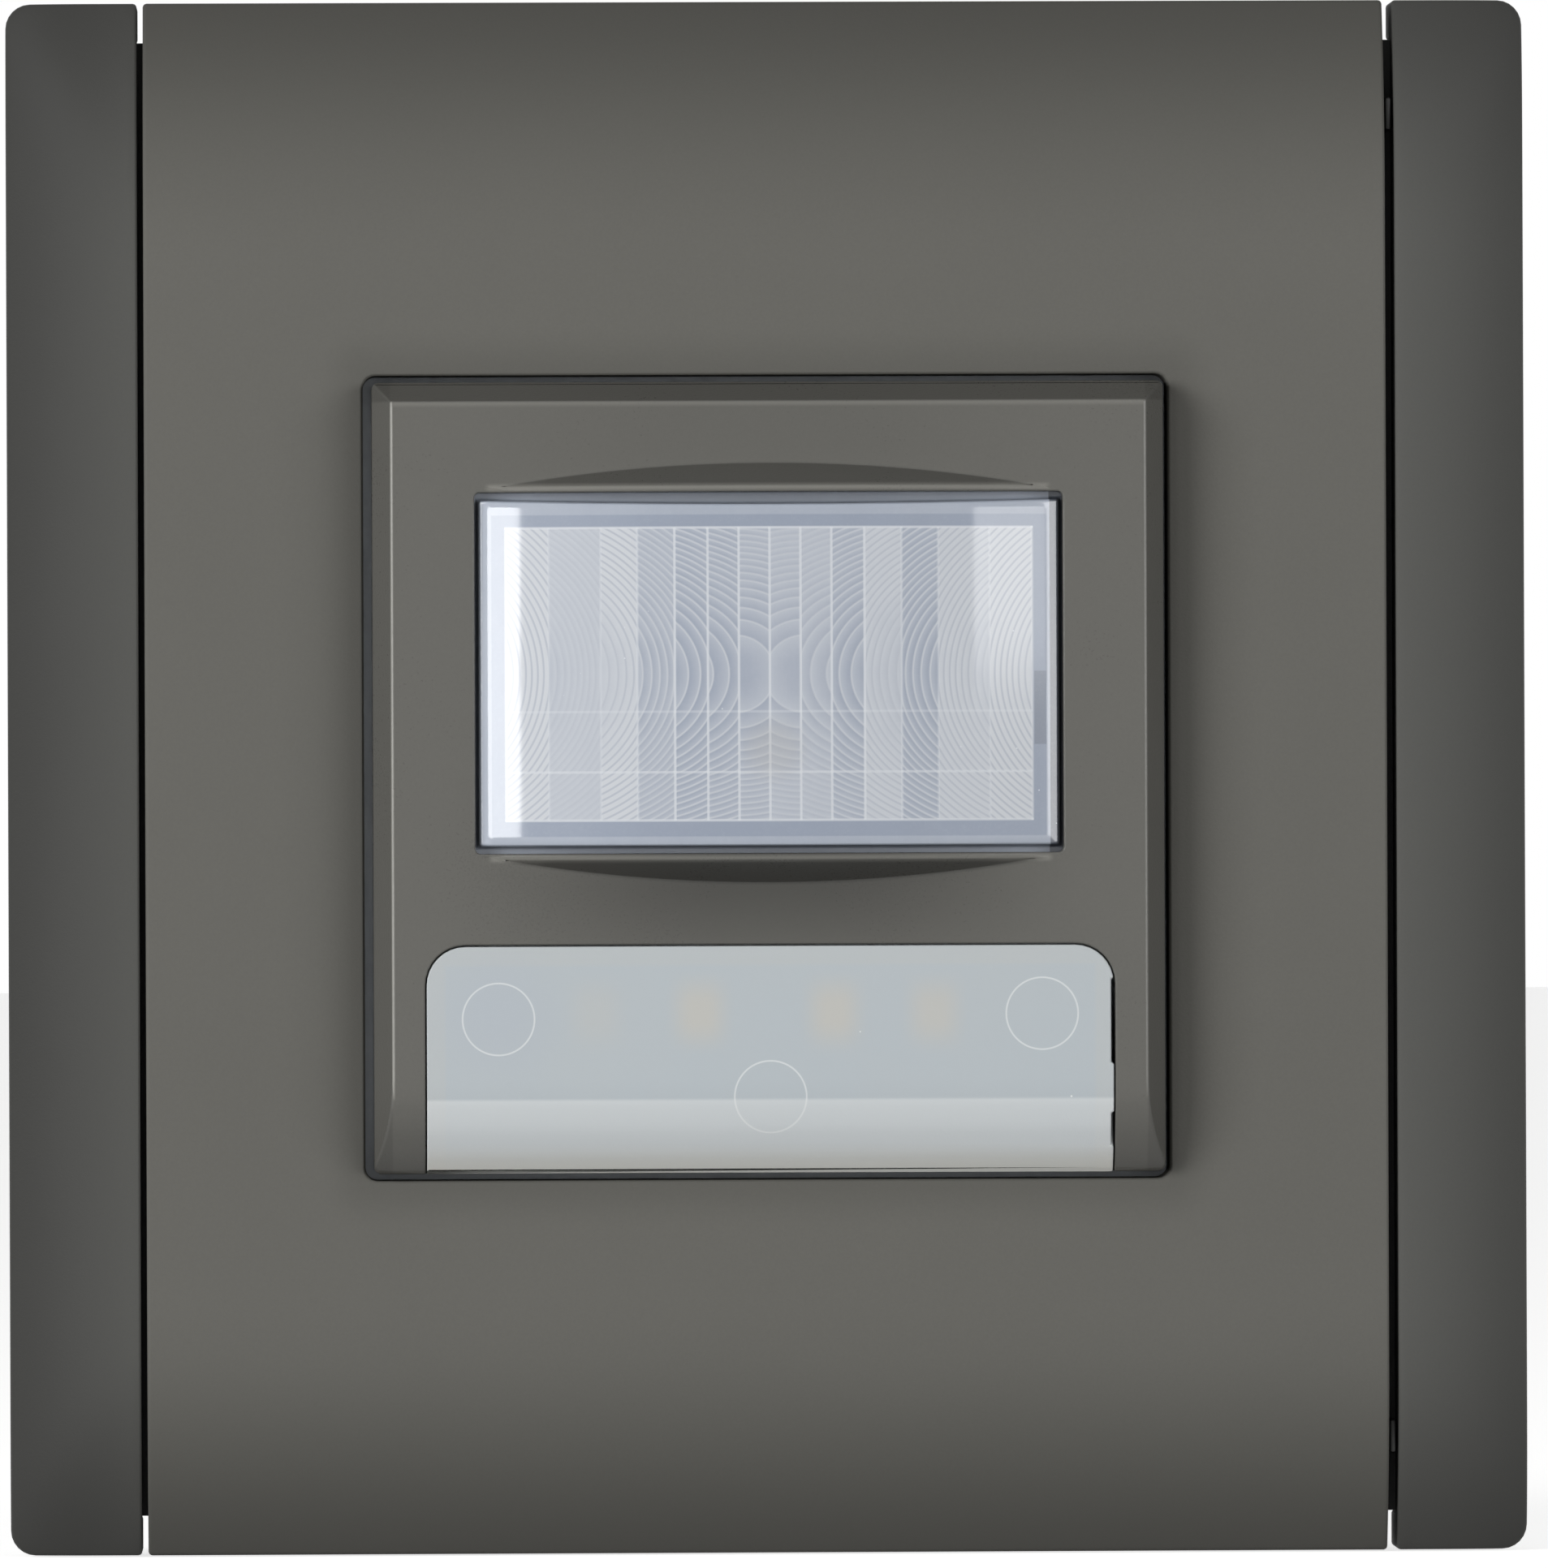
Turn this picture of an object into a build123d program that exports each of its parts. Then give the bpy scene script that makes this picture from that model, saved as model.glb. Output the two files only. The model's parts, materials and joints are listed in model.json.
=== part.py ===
from build123d import *
import os

# A wall switch that turns the light on when someone walks by, with a night light below its lens.
# Lengths are in millimetres. Every piece is drawn lying on the wall plane, seen from the room: x runs
# to the right, y runs up the wall and z runs out of the wall, from the middle of the wall plane.
# The finished pieces are then stood upright, so the switch faces -Y and its top is at +Z.

# Clearances shared by many pieces
seat_gap = 0.1
slide_gap = 0.3
thread_gap = 0.05
part_gap = 1.0
overrun = 1.0

# Steel support ring, sized by the screws of the wall box
box_screw_spacing = 60.0
box_slot_margin = 5.5
box_slot_width = 3.6
box_slot_length = 5.0
ring_thickness = 1.2
ring_corner_cut = 9.0
ring_land = 2.0
ring_opening_corner_cut = 5.0
lug_thickness = 1.0
lug_depth = 4.2
lug_reach = 1.5

# Plate seen from the room: it reaches past the ring on every side
plate_side_reach = 7.8
plate_end_reach = 8.75
plate_corner_radius = 1.4
strip_width = 7.5
strip_gap = 0.45
panel_play = 0.1
module_size = 45.0
module_gap = 0.4
module_corner_radius = 0.4
opening_corner_radius = 0.7

# Plate seen from the side
edge_lift = 0.6
panel_rise = 4.5
panel_end_drop = 2.8
panel_roll_length = 11.0
panel_wall = 1.6
strip_step = 0.2
strip_side_drop = 2.9
strip_wall = 1.6

# Base that carries the panel and the strips
base_end_setback = 2.2
base_wall = 1.6
web_thickness = 1.6
web_head_gap = 0.4
base_opening_gap = 0.8
clip_tab_width = 0.3
clip_tab_length = 1.8
clip_tab_height = 3.4
clip_tab_end_inset = 6.55
leg_width = 3.2
leg_thickness = 1.4
leg_reach = 1.6
leg_x = 12.0
leg_offset = 4.7

# Front cover
cover_rise = 3.1
cover_wall = 1.5
cover_side_width = 1.07
cover_side_depth = 2.0
cover_top_width = 1.15
cover_top_depth = 2.0
cover_fall_length = 5.4
cover_fall_drop = 2.5
cover_skirt_gap = 0.4

# Lens and the opening it looks out of
lens_side_inset = 6.0
lens_top_inset = 6.735
lens_to_window = 5.685
lens_gap = 0.2
lens_end_gap = 0.42
lens_bulge = 2.4
lens_wall = 0.9
lens_edge_setback = 0.2
lens_flange_width = 1.4
lens_flange_thickness = 1.0
lip_end_inset = 0.85
lip_bulge = 2.2
lip_rim = 0.3
lip_rise = 1.4
retainer_lap = 1.9
retainer_bar = 3.2
retainer_thickness = 1.4

# Frosted window of the night light, and the white tray behind it
window_side_inset = 3.0
window_height = 12.93
window_corner_radius = 2.2
window_gap = 0.08
window_wall = 1.5
window_hook = 2.2
window_flange_width = 1.0
window_flange_thickness = 0.9
tray_side_inset = 1.8
tray_top_inset = 1.83
tray_bottom_gap = 0.3
tray_wall = 1.0
tray_depth = 4.4

# Housing in the wall box
housing_inset = 2.0
housing_wall = 1.6
housing_corner_radius = 3.0
flange_thickness = 1.6
dome_inset = 2.3
dome_corner_cut = 5.4
dome_rise = 2.8
boss_radius = 2.6
boss_inset = 3.2
rib_width = 6.0
rib_lap = 0.5

# Screws that join the two halves of the housing through the ring
housing_screw_head_radius = 2.1
housing_screw_head_height = 1.4
housing_screw_radius = 1.1
housing_screw_length = 9.0

# Printed circuit boards and the pins between them
board_inset = 3.3
board_corner_cut = 5.0
board_spacing = 5.9
sensor_board_thickness = 1.2
power_board_thickness = 1.6
header_pin_count = 6
header_pin_spacing = 2.54
header_pin_width = 0.64
header_block_width = 2.5
header_from_lamps = 4.72
header_pin_proud = 0.6

# Passive infrared sensor
pir_radius = 4.1
pir_flange_radius = 4.6
pir_flange_thickness = 0.8
pir_can_height = 4.0
pir_can_wall = 0.4
pir_window_width = 4.0
pir_window_height = 3.0
pir_window_rim = 0.4
pir_element_thickness = 0.6
pir_element_height = 2.2
pir_element_width = 1.0
pir_element_gap = 1.0

# Light sensor, lamps, chip and adjusters on the sensor board
light_sensor_rise = 3.97
lamp_drop = 3.75
lamp_inner_x = 3.9
lamp_outer_x = 10.0
lamp_radius = 1.5
lamp_flange_radius = 1.8
lamp_flange_height = 1.0
lamp_body_height = 3.4
lamp_hole_gap = 0.5
chip_side_inset = 5.4
chip_top_inset = 2.9
chip_width = 6.4
chip_length = 4.6
chip_height = 1.4
trimmer_inset = 4.2
trimmer_rise = 2.0
trimmer_size = 6.2
trimmer_height = 2.2
trimmer_bore_radius = 2.0
rotor_radius = 1.9
rotor_flange_height = 1.2
rotor_stem_radius = 1.4
rotor_proud = 0.3
rotor_slot_width = 0.6
rotor_slot_depth = 0.7

# Relay
relay_side_inset = 2.9
relay_top_inset = 2.2
relay_length = 19.0
relay_width = 15.5
relay_height = 15.3
relay_base_thickness = 1.5
relay_case_wall = 0.8
relay_side_gap = 0.2
relay_back_gap = 0.6
relay_floor_gap = 1.5
core_radius = 1.6
bobbin_radius = 4.9
bobbin_flange = 0.8
winding_radius = 4.3
bobbin_bore_wall = 0.6
yoke_thickness = 1.2
yoke_width = 8.0
yoke_gap = 0.3
armature_gap = 0.9
armature_thickness = 1.2
armature_end_gap = 1.6
pivot_gap = 0.3
contact_arm_thickness = 0.4
contact_arm_width = 4.0
contact_arm_end_gap = 2.2
contact_radius = 1.2
contact_height = 0.8
contact_gap = 1.5
fixed_post_width = 3.0
fixed_post_thickness = 0.8

# Supply parts on the power board, some placed by shares of the board's half width
film_capacitor_size = (6.0, 13.0, 12.0)
film_capacitor_edge_radius = 0.6
varistor_radius = 3.4
varistor_thickness = 3.2
smoothing_radius = 3.2
smoothing_height = 5.0
smoothing_groove_depth = 0.3
smoothing_groove_height = 0.6
smoothing_place_share = (-0.52, 0.12)
inductor_radius = 3.4
inductor_height = 4.4
inductor_flange = 0.8
inductor_core_radius = 1.8
inductor_place_share = (0.55, 0.12)
resistor_radius = 1.5
resistor_length = 8.0
resistor_lead_radius = 0.3
resistor_lead_length = 1.5
resistor_place_share = (0.0, 0.72)
rectifier_size = (6.5, 5.0, 2.4)
rectifier_place_share = (0.0, -0.77)

# Terminals
terminal_names = ("live", "neutral", "load")
terminal_spacing = 8.6
terminal_block_wall = 1.3
terminal_block_lid = 2.6
terminal_cell_depth = 8.7
cage_inner_width = 4.8
cage_side_wall = 0.8
cage_end_wall = 1.2
cage_far_wall = 1.0
cage_depth = 5.6
cage_travel = 3.0
wire_bore_radius = 1.9
jaw_width = 4.0
jaw_thickness = 1.0
jaw_end_gap = 1.4
terminal_screw_rise = 4.7
terminal_head_radius = 2.2
terminal_head_height = 1.3
terminal_screw_radius = 1.2
shoulder_thickness = 0.6
terminal_tip_gap = 0.2

# Claws that grip the wall box
claw_side_gap = 0.45
claw_pivot_depth = 2.6
claw_offset_y = 8.0
claw_width = 9.0
claw_slot_width = 5.0
claw_thickness = 1.2
claw_eye_radius = 1.35
claw_pin_radius = 0.75
claw_length = 20.0
claw_foot_length = 2.0
claw_tooth_length = 1.6
claw_tooth_count = 3
claw_screw_offset = 3.1
claw_screw_radius = 1.4
claw_screw_tip_gap = 2.6
claw_head_radius = 2.4
claw_head_height = 1.8
claw_screw_gap = 0.4

# Shares that shape the heads of all screws
head_round_share = 0.45
drive_length_share = 0.62
drive_width_share = 0.17
drive_depth_share = 0.6

# Plate, base and cover, worked out from the sizes above
ring_size = box_screw_spacing + 2 * box_slot_margin
plate_width = ring_size + 2 * plate_side_reach
plate_height = ring_size + 2 * plate_end_reach
strip_inner_x = plate_width / 2 - strip_width
panel_width = 2 * (strip_inner_x - strip_gap)
base_width = plate_width - 2 * (strip_wall + seat_gap)
base_height = plate_height - 2 * base_end_setback
web_back = ring_thickness + claw_head_height + web_head_gap
web_front = web_back + web_thickness
panel_front = web_front + panel_rise
strip_front = panel_front - strip_step
opening_size = module_size + 2 * module_gap
clip_tab_y = plate_height / 2 - clip_tab_end_inset
cover_front = panel_front + cover_rise
cover_back = ring_thickness + cover_skirt_gap
cover_inside = cover_front - cover_wall

# Lens, window and tray
window_width = module_size - 2 * window_side_inset
window_top_y = window_height - module_size / 2
window_ledge = cover_front - cover_fall_drop - window_hook
lens_width = module_size - 2 * lens_side_inset
lens_height = module_size - lens_top_inset - lens_to_window - window_height
lens_middle_y = module_size / 2 - lens_top_inset - lens_height / 2
lens_opening_width = lens_width + 2 * lens_gap
lens_opening_height = lens_height + 2 * lens_end_gap
lens_flange_back = cover_inside - lens_flange_thickness
lip_length = lens_width - 2 * lip_end_inset
retainer_width = lens_opening_width + 2 * retainer_lap
retainer_height = lens_opening_height + 2 * retainer_lap
tray_width = window_width - 2 * tray_side_inset
tray_top_y = window_top_y - tray_top_inset
tray_bottom_y = cover_fall_length + tray_bottom_gap - module_size / 2
tray_back = cover_inside - tray_depth

# Housing, boards and what stands on the front board
housing_size = module_size - 2 * housing_inset
housing_inner = housing_size - 2 * housing_wall
ring_opening = housing_size - 2 * ring_land
flange_size = module_size - 2 * (cover_wall + slide_gap)
flange_front = ring_thickness + flange_thickness
dome_size = housing_size - 2 * dome_inset
dome_front = flange_front + dome_rise
dome_inside = dome_front - housing_wall
boss_from_middle = housing_size / 2 - boss_inset
boss_sides = (-boss_from_middle, boss_from_middle)
boss_places = [(x, y) for x in boss_sides for y in boss_sides]
board_size = housing_size - 2 * board_inset
rib_from_middle = board_size / 2 - rib_lap
sensor_board_front = ring_thickness - seat_gap
sensor_board_back = sensor_board_front - sensor_board_thickness
power_board_front = sensor_board_back - board_spacing
power_board_back = power_board_front - power_board_thickness
pir_can_back = sensor_board_front + pir_flange_thickness
pir_can_front = pir_can_back + pir_can_height
lamp_y = window_top_y - lamp_drop
lamp_places = [(x, lamp_y) for x in (-lamp_outer_x, -lamp_inner_x, lamp_inner_x, lamp_outer_x)]
header_y = lamp_y + header_from_lamps
light_sensor_y = window_top_y + light_sensor_rise
trimmer_x = board_size / 2 - trimmer_inset
trimmer_y = light_sensor_y + trimmer_rise
trimmer_places = [(-trimmer_x, trimmer_y), (trimmer_x, trimmer_y)]
rotor_front = dome_front + rotor_proud
chip_x = board_size / 2 - chip_side_inset - chip_width / 2
chip_y = board_size / 2 - chip_top_inset - chip_length / 2

# Relay and its neighbours behind the power board
relay_x = relay_side_inset + relay_length / 2 - board_size / 2
relay_y = board_size / 2 - relay_top_inset - relay_width / 2
relay_base_back = power_board_back - relay_base_thickness
relay_back = power_board_back - relay_height
armature_back = relay_back + relay_case_wall + relay_back_gap + contact_arm_thickness
armature_front = armature_back + armature_thickness
core_back = armature_front + armature_gap
bobbin_back = core_back + yoke_gap
yoke_floor_back = relay_base_back - yoke_thickness
yoke_x = relay_x - relay_length / 2 + relay_case_wall + relay_side_gap
coil_x = yoke_x + yoke_thickness + yoke_gap + bobbin_radius
contact_arm_length = relay_length - 2 * relay_case_wall - relay_side_gap - contact_arm_end_gap
contact_x = yoke_x + contact_arm_length - contact_radius
armature_length = contact_arm_length - 2 * contact_radius - armature_end_gap
film_capacitor_at = (relay_x + relay_length / 2 + part_gap + film_capacitor_size[0] / 2, relay_y)
varistor_x = film_capacitor_at[0] + film_capacitor_size[0] / 2 + part_gap + varistor_thickness / 2
housing_back = relay_back - relay_floor_gap - housing_wall
housing_floor = housing_back + housing_wall

# Terminals, from the housing's lower wall upwards
terminal_places = [(place - 1) * terminal_spacing for place in range(len(terminal_names))]
cage_outer_width = cage_inner_width + 2 * cage_side_wall
terminal_cell_width = cage_outer_width + 2 * slide_gap
terminal_block_bottom = seat_gap - housing_inner / 2
shoulder_y = terminal_block_bottom + terminal_head_height + slide_gap
cell_bottom = shoulder_y + shoulder_thickness
cage_bottom = cell_bottom + slide_gap + cage_travel
jaw_bottom = cage_bottom + cage_end_wall + slide_gap
jaw_top = jaw_bottom + jaw_thickness
wire_y = jaw_top + wire_bore_radius
cage_top = wire_y + wire_bore_radius + cage_far_wall
cell_top = cage_top + slide_gap
terminal_block_top = cell_top + terminal_block_wall
terminal_block_back = housing_floor + seat_gap
terminal_cell_front = terminal_block_back + terminal_cell_depth
terminal_block_front = terminal_cell_front + terminal_block_lid
terminal_screw_z = terminal_block_back + terminal_screw_rise

# Claws, from the housing's side walls outwards, and the legs of the base between them
claw_pivot_x = housing_size / 2 + claw_side_gap + claw_eye_radius
claw_pivot_z = -claw_pivot_depth
claw_screw_x = claw_pivot_x + claw_screw_offset
claw_screw_length = claw_pivot_depth + claw_length - claw_foot_length - claw_screw_tip_gap
leg_y = housing_size / 2 + leg_offset


def block(x_span, y_span, z_span):
    """A box between two limits along each axis."""
    spans = (x_span, y_span, z_span)
    middle = [(low + high) / 2 for low, high in spans]
    return Pos(*middle) * Box(*[high - low for low, high in spans])


def slab(width, height, z_span, corner_radius=0, at=(0, 0)):
    """A plate on the wall plane, with round corners if a radius is given."""
    outline = RectangleRounded(width, height, corner_radius) if corner_radius else Rectangle(width, height)
    return Pos(at[0], at[1], z_span[0]) * extrude(outline, z_span[1] - z_span[0])


def cut_corner_slab(size, corner_cut, z_span):
    """A square plate with its corners cut off at 45 degrees."""
    far = size / 2
    near = far - corner_cut
    upper = [(far, near), (near, far), (-near, far), (-far, near)]
    corners = upper + [(-x, -y) for x, y in upper]
    return Pos(0, 0, z_span[0]) * extrude(Polygon(*corners, align=None), z_span[1] - z_span[0])


def rod(radius, z_span, at=(0, 0)):
    """A round bar that stands out of the wall."""
    return Pos(at[0], at[1], (z_span[0] + z_span[1]) / 2) * Cylinder(radius, z_span[1] - z_span[0])


def upright_rod(radius, y_span, x, z):
    """A round bar that runs up the wall."""
    return Pos(x, (y_span[0] + y_span[1]) / 2, z) * Rot(90, 0, 0) * Cylinder(radius, y_span[1] - y_span[0])


def level_rod(radius, x_span, y, z):
    """A round bar that runs across the wall."""
    return Pos((x_span[0] + x_span[1]) / 2, y, z) * Rot(0, 90, 0) * Cylinder(radius, x_span[1] - x_span[0])


def screw(head_radius, head_height, shank_radius, shank_length):
    """A pan-head screw: the underside of its head is at the origin and its shank points along -z."""
    head = rod(head_radius, (0, head_height))
    head = fillet(head.edges().group_by(Axis.Z)[-1], head_height * head_round_share)
    slot_length = 2 * head_radius * drive_length_share
    slot_width = 2 * head_radius * drive_width_share
    slot_depth = head_height * drive_depth_share
    body = head + rod(shank_radius, (-shank_length, 0))
    for turn in (0, 90):
        body -= Pos(0, 0, head_height) * Rot(0, 0, turn) * Box(slot_length, slot_width, 2 * slot_depth)
    return body


def save(name, *pieces):
    """Stand the pieces upright and write them as one named sub-part."""
    solids = [solid for piece in pieces for solid in (Plane.XZ.location * piece).solids()]
    export_step(solids[0] if len(solids) == 1 else Compound(solids), f"parts/{name}.step")


def roll_outline(half_height, front, bottom):
    """Side view of the panel and strips: flat in the middle and rolled back at the top and bottom ends."""
    flat = half_height - panel_roll_length
    end = front - panel_end_drop
    sides = [
        Line((-half_height, bottom), (-half_height, end)),
        TangentArc((-flat, front), (-half_height, end), tangent=(-1, 0)),
        Line((-flat, front), (flat, front)),
        TangentArc((flat, front), (half_height, end), tangent=(1, 0)),
        Line((half_height, end), (half_height, bottom)),
        Line((half_height, bottom), (-half_height, bottom)),
    ]
    return Plane.YZ * make_face(sides)


def rolled_slab(width, half_height, front, bottom):
    """The rolled side view, as wide as asked."""
    return extrude(roll_outline(half_height, front, bottom), width / 2, both=True)


def make_frame_base():
    """The carrier behind the panel: a web with the module's opening, a rim and four legs."""
    rim_width = base_width - 2 * base_wall
    rim_height = base_height - 2 * base_wall
    web_opening = opening_size + 2 * base_opening_gap
    base = slab(base_width, base_height, (0, web_front))
    base -= slab(rim_width, rim_height, (-overrun, web_back))
    base -= slab(web_opening, web_opening, (0, web_front + overrun))
    for x in (-leg_x, leg_x):
        for y in (-leg_y, leg_y):
            base += slab(leg_width, leg_thickness, (-leg_reach, web_back), at=(x, y))
    tab_inner_x = panel_width / 2 - panel_play + seat_gap
    tab_x = (tab_inner_x, tab_inner_x + clip_tab_width)
    for middle in (-clip_tab_y, clip_tab_y):
        tab_y = (middle - clip_tab_length / 2, middle + clip_tab_length / 2)
        base += block(tab_x, tab_y, (web_back, web_front + clip_tab_height))
    return base


def make_centre_panel():
    """The wide panel: a thin shell with a wall round the module's opening and skirts at its two ends."""
    half_height = plate_height / 2
    panel = rolled_slab(panel_width, half_height, panel_front, edge_lift)
    inner_width = panel_width - 2 * panel_wall
    hollow = rolled_slab(inner_width, half_height - panel_wall, panel_front - panel_wall, 0)
    collar = slab(opening_size + 2 * panel_wall, opening_size + 2 * panel_wall, (0, panel_front))
    panel -= hollow - collar
    panel -= slab(panel_width + overrun, base_height + 2 * seat_gap, (0, web_front))
    panel -= slab(opening_size, opening_size, (0, panel_front + overrun), opening_corner_radius)
    return Pos(-panel_play, 0, 0) * panel


def strip_section(inner_x, outer_x, front, bottom):
    """End view of a side strip: level beside the panel and falling away towards its outer edge."""
    end = front - strip_side_drop
    sides = [
        Line((inner_x, bottom), (inner_x, front)),
        TangentArc((inner_x, front), (outer_x, end), tangent=(1, 0)),
        Line((outer_x, end), (outer_x, bottom)),
        Line((outer_x, bottom), (inner_x, bottom)),
    ]
    return Plane.XZ * make_face(sides)


def make_side_strip():
    """The right-hand strip: a hollow cover that hides the side of the base."""
    half_height = plate_height / 2
    outer_x = plate_width / 2
    strip = extrude(strip_section(strip_inner_x, outer_x, strip_front, edge_lift), half_height, both=True)
    strip &= rolled_slab(plate_width, half_height, strip_front, 0)
    strip &= slab(plate_width, plate_height, (0, panel_front), plate_corner_radius)
    hollow_front = strip_front - strip_wall
    section = strip_section(strip_inner_x + strip_wall, outer_x - strip_wall, hollow_front, 0)
    hollow = extrude(section, half_height - strip_wall, both=True)
    hollow &= rolled_slab(plate_width, half_height - strip_wall, hollow_front, 0)
    strip -= hollow
    return strip - slab(base_width + 2 * seat_gap, base_height + 2 * seat_gap, (0, web_front))


def cover_envelope(inset, back):
    """The outside of the front cover, or a shape drawn in from it by the inset."""
    side = module_size / 2 - inset
    front = cover_front - inset
    bend = cover_fall_length - module_size / 2
    side_view = [
        Line((-side, back), (-side, front - cover_fall_drop)),
        TangentArc((bend, front), (-side, front - cover_fall_drop), tangent=(-1, 0)),
        Line((bend, front), (side - cover_top_width, front)),
        Line((side - cover_top_width, front), (side, front - cover_top_depth)),
        Line((side, front - cover_top_depth), (side, back)),
        Line((side, back), (-side, back)),
    ]
    top_view = [
        (-side, back),
        (side, back),
        (side, front - cover_side_depth),
        (side - cover_side_width, front),
        (-side + cover_side_width, front),
        (-side, front - cover_side_depth),
    ]
    across = extrude(Plane.YZ * make_face(side_view), side, both=True)
    along = extrude(Plane.XZ * Polygon(*top_view, align=None), module_size / 2, both=True)
    return across & along


def bulge_outline(length, bulge, front, back):
    """Top view of a piece that bulges out between its two ends, as the lens does."""
    half = length / 2
    sides = [
        Line((-half, back), (-half, front)),
        ThreePointArc((-half, front), (0, front + bulge), (half, front)),
        Line((half, front), (half, back)),
        Line((half, back), (-half, back)),
    ]
    return Plane.XZ * make_face(sides)


def bulge_prism(length, height, bulge, front, back):
    """The bulging top view, standing over the height of the lens's middle."""
    outline = bulge_outline(length, bulge, front, back)
    return Pos(0, lens_middle_y, 0) * extrude(outline, height / 2, both=True)


def make_lips():
    """The two raised lips above and below the lens: a thin rim, then a slope down to the face."""
    face_level = cover_front - cover_wall / 2
    section = bulge_outline(lip_length, lip_bulge, cover_front, face_level)
    above_face = slab(module_size, module_size, (face_level, cover_front + lip_bulge))
    lips = []
    for side in (-1, 1):
        inner_edge = lens_middle_y + side * lens_opening_height / 2
        outer_edge = inner_edge + side * lip_rim
        rim = Pos(0, inner_edge, 0) * extrude(section, lip_rim, dir=(0, side, 0))
        fall = Vector(0, side * lip_rise, -lip_bulge)
        slope = Pos(0, outer_edge, 0) * extrude(section, fall.length, dir=fall.normalized())
        lips.append(rim + (slope & above_face))
    return lips


def window_outline(grow):
    """The window seen from the room: round at its top corners and running out at the cover's lower end."""
    top = window_top_y + grow
    bottom = -module_size / 2 - overrun
    width = window_width + 2 * grow
    corner = window_corner_radius + grow
    plate = Rectangle(width, top - bottom)
    plate = fillet(plate.vertices().group_by(Axis.Y)[-1], corner)
    return Pos(0, (top + bottom) / 2, 0) * plate


def window_prism(grow, z_span):
    """The window's outline, between two heights above the wall."""
    return Pos(0, 0, z_span[0]) * extrude(window_outline(grow), z_span[1] - z_span[0])


def make_insert_cover():
    """The square front cover: a shell with chamfers, the lens opening and its lips, and the window's cut-out."""
    cover = cover_envelope(0, cover_back)
    cover &= slab(module_size, module_size, (0, cover_front + overrun), module_corner_radius)
    cover -= cover_envelope(cover_wall, cover_back - overrun)
    for lip in make_lips():
        cover += lip
    opening_span = (cover_inside - overrun, cover_front + lip_bulge + overrun)
    cover -= slab(lens_opening_width, lens_opening_height, opening_span, at=(0, lens_middle_y))
    return cover - window_prism(window_gap, (window_ledge, cover_front + overrun))


def make_fresnel_lens():
    """The lens: a thin bulging shell with a flange that sits behind the cover."""
    edge_front = cover_front - lens_edge_setback
    lens = bulge_prism(lens_width, lens_height, lens_bulge, edge_front, lens_flange_back)
    lens += slab(
        lens_opening_width + 2 * lens_flange_width,
        lens_opening_height + 2 * lens_flange_width,
        (lens_flange_back, cover_inside),
        at=(0, lens_middle_y),
    )
    return lens - bulge_prism(
        lens_width - 2 * lens_wall,
        lens_height - 2 * lens_wall,
        lens_bulge,
        edge_front - lens_wall,
        lens_flange_back - overrun,
    )


def make_lens_retainer():
    """The black frame that presses the lens's flange against the cover."""
    span = (lens_flange_back - retainer_thickness, lens_flange_back)
    frame = slab(retainer_width, retainer_height, span, at=(0, lens_middle_y))
    inner = (retainer_width - 2 * retainer_bar, retainer_height - 2 * retainer_bar)
    return frame - slab(*inner, (span[0] - overrun, span[1] + overrun), at=(0, lens_middle_y))


def make_light_window():
    """The frosted window: flush with the cover, falling back with it, with a flange inside the cover."""
    shell = cover_envelope(0, window_ledge) - cover_envelope(window_wall, window_ledge - overrun)
    window = shell & window_prism(0, (window_ledge, cover_front))
    flange_span = (cover_inside - window_flange_thickness, cover_inside)
    flange = window_prism(window_flange_width, flange_span) - window_prism(-window_wall, flange_span)
    kept_above = (tray_bottom_y, window_top_y + window_flange_width)
    flange &= block((-module_size / 2, module_size / 2), kept_above, flange_span)
    return window + (flange & cover_envelope(cover_wall, window_ledge))


def make_light_tray():
    """The white tray that mixes the light of the lamps before it reaches the window."""
    y_span = (tray_bottom_y, tray_top_y)
    tray = block((-tray_width / 2, tray_width / 2), y_span, (tray_back, cover_inside))
    inner_x = tray_width / 2 - tray_wall
    inner_y = (tray_bottom_y + tray_wall, tray_top_y - tray_wall)
    tray -= block((-inner_x, inner_x), inner_y, (tray_back + tray_wall, cover_inside + overrun))
    for place in lamp_places:
        tray -= rod(lamp_radius + lamp_hole_gap, (tray_back - overrun, cover_inside), place)
    return tray


def box_slot(x, y, along_x):
    """One slotted hole for a screw of the wall box."""
    z_span = (-overrun, ring_thickness + overrun)
    reach = (box_slot_length - box_slot_width) / 2
    if along_x:
        ends = [(x - reach, y), (x + reach, y)]
        slot = slab(2 * reach, box_slot_width, z_span, at=(x, y))
    else:
        ends = [(x, y - reach), (x, y + reach)]
        slot = slab(box_slot_width, 2 * reach, z_span, at=(x, y))
    for end in ends:
        slot += rod(box_slot_width / 2, z_span, end)
    return slot


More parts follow.
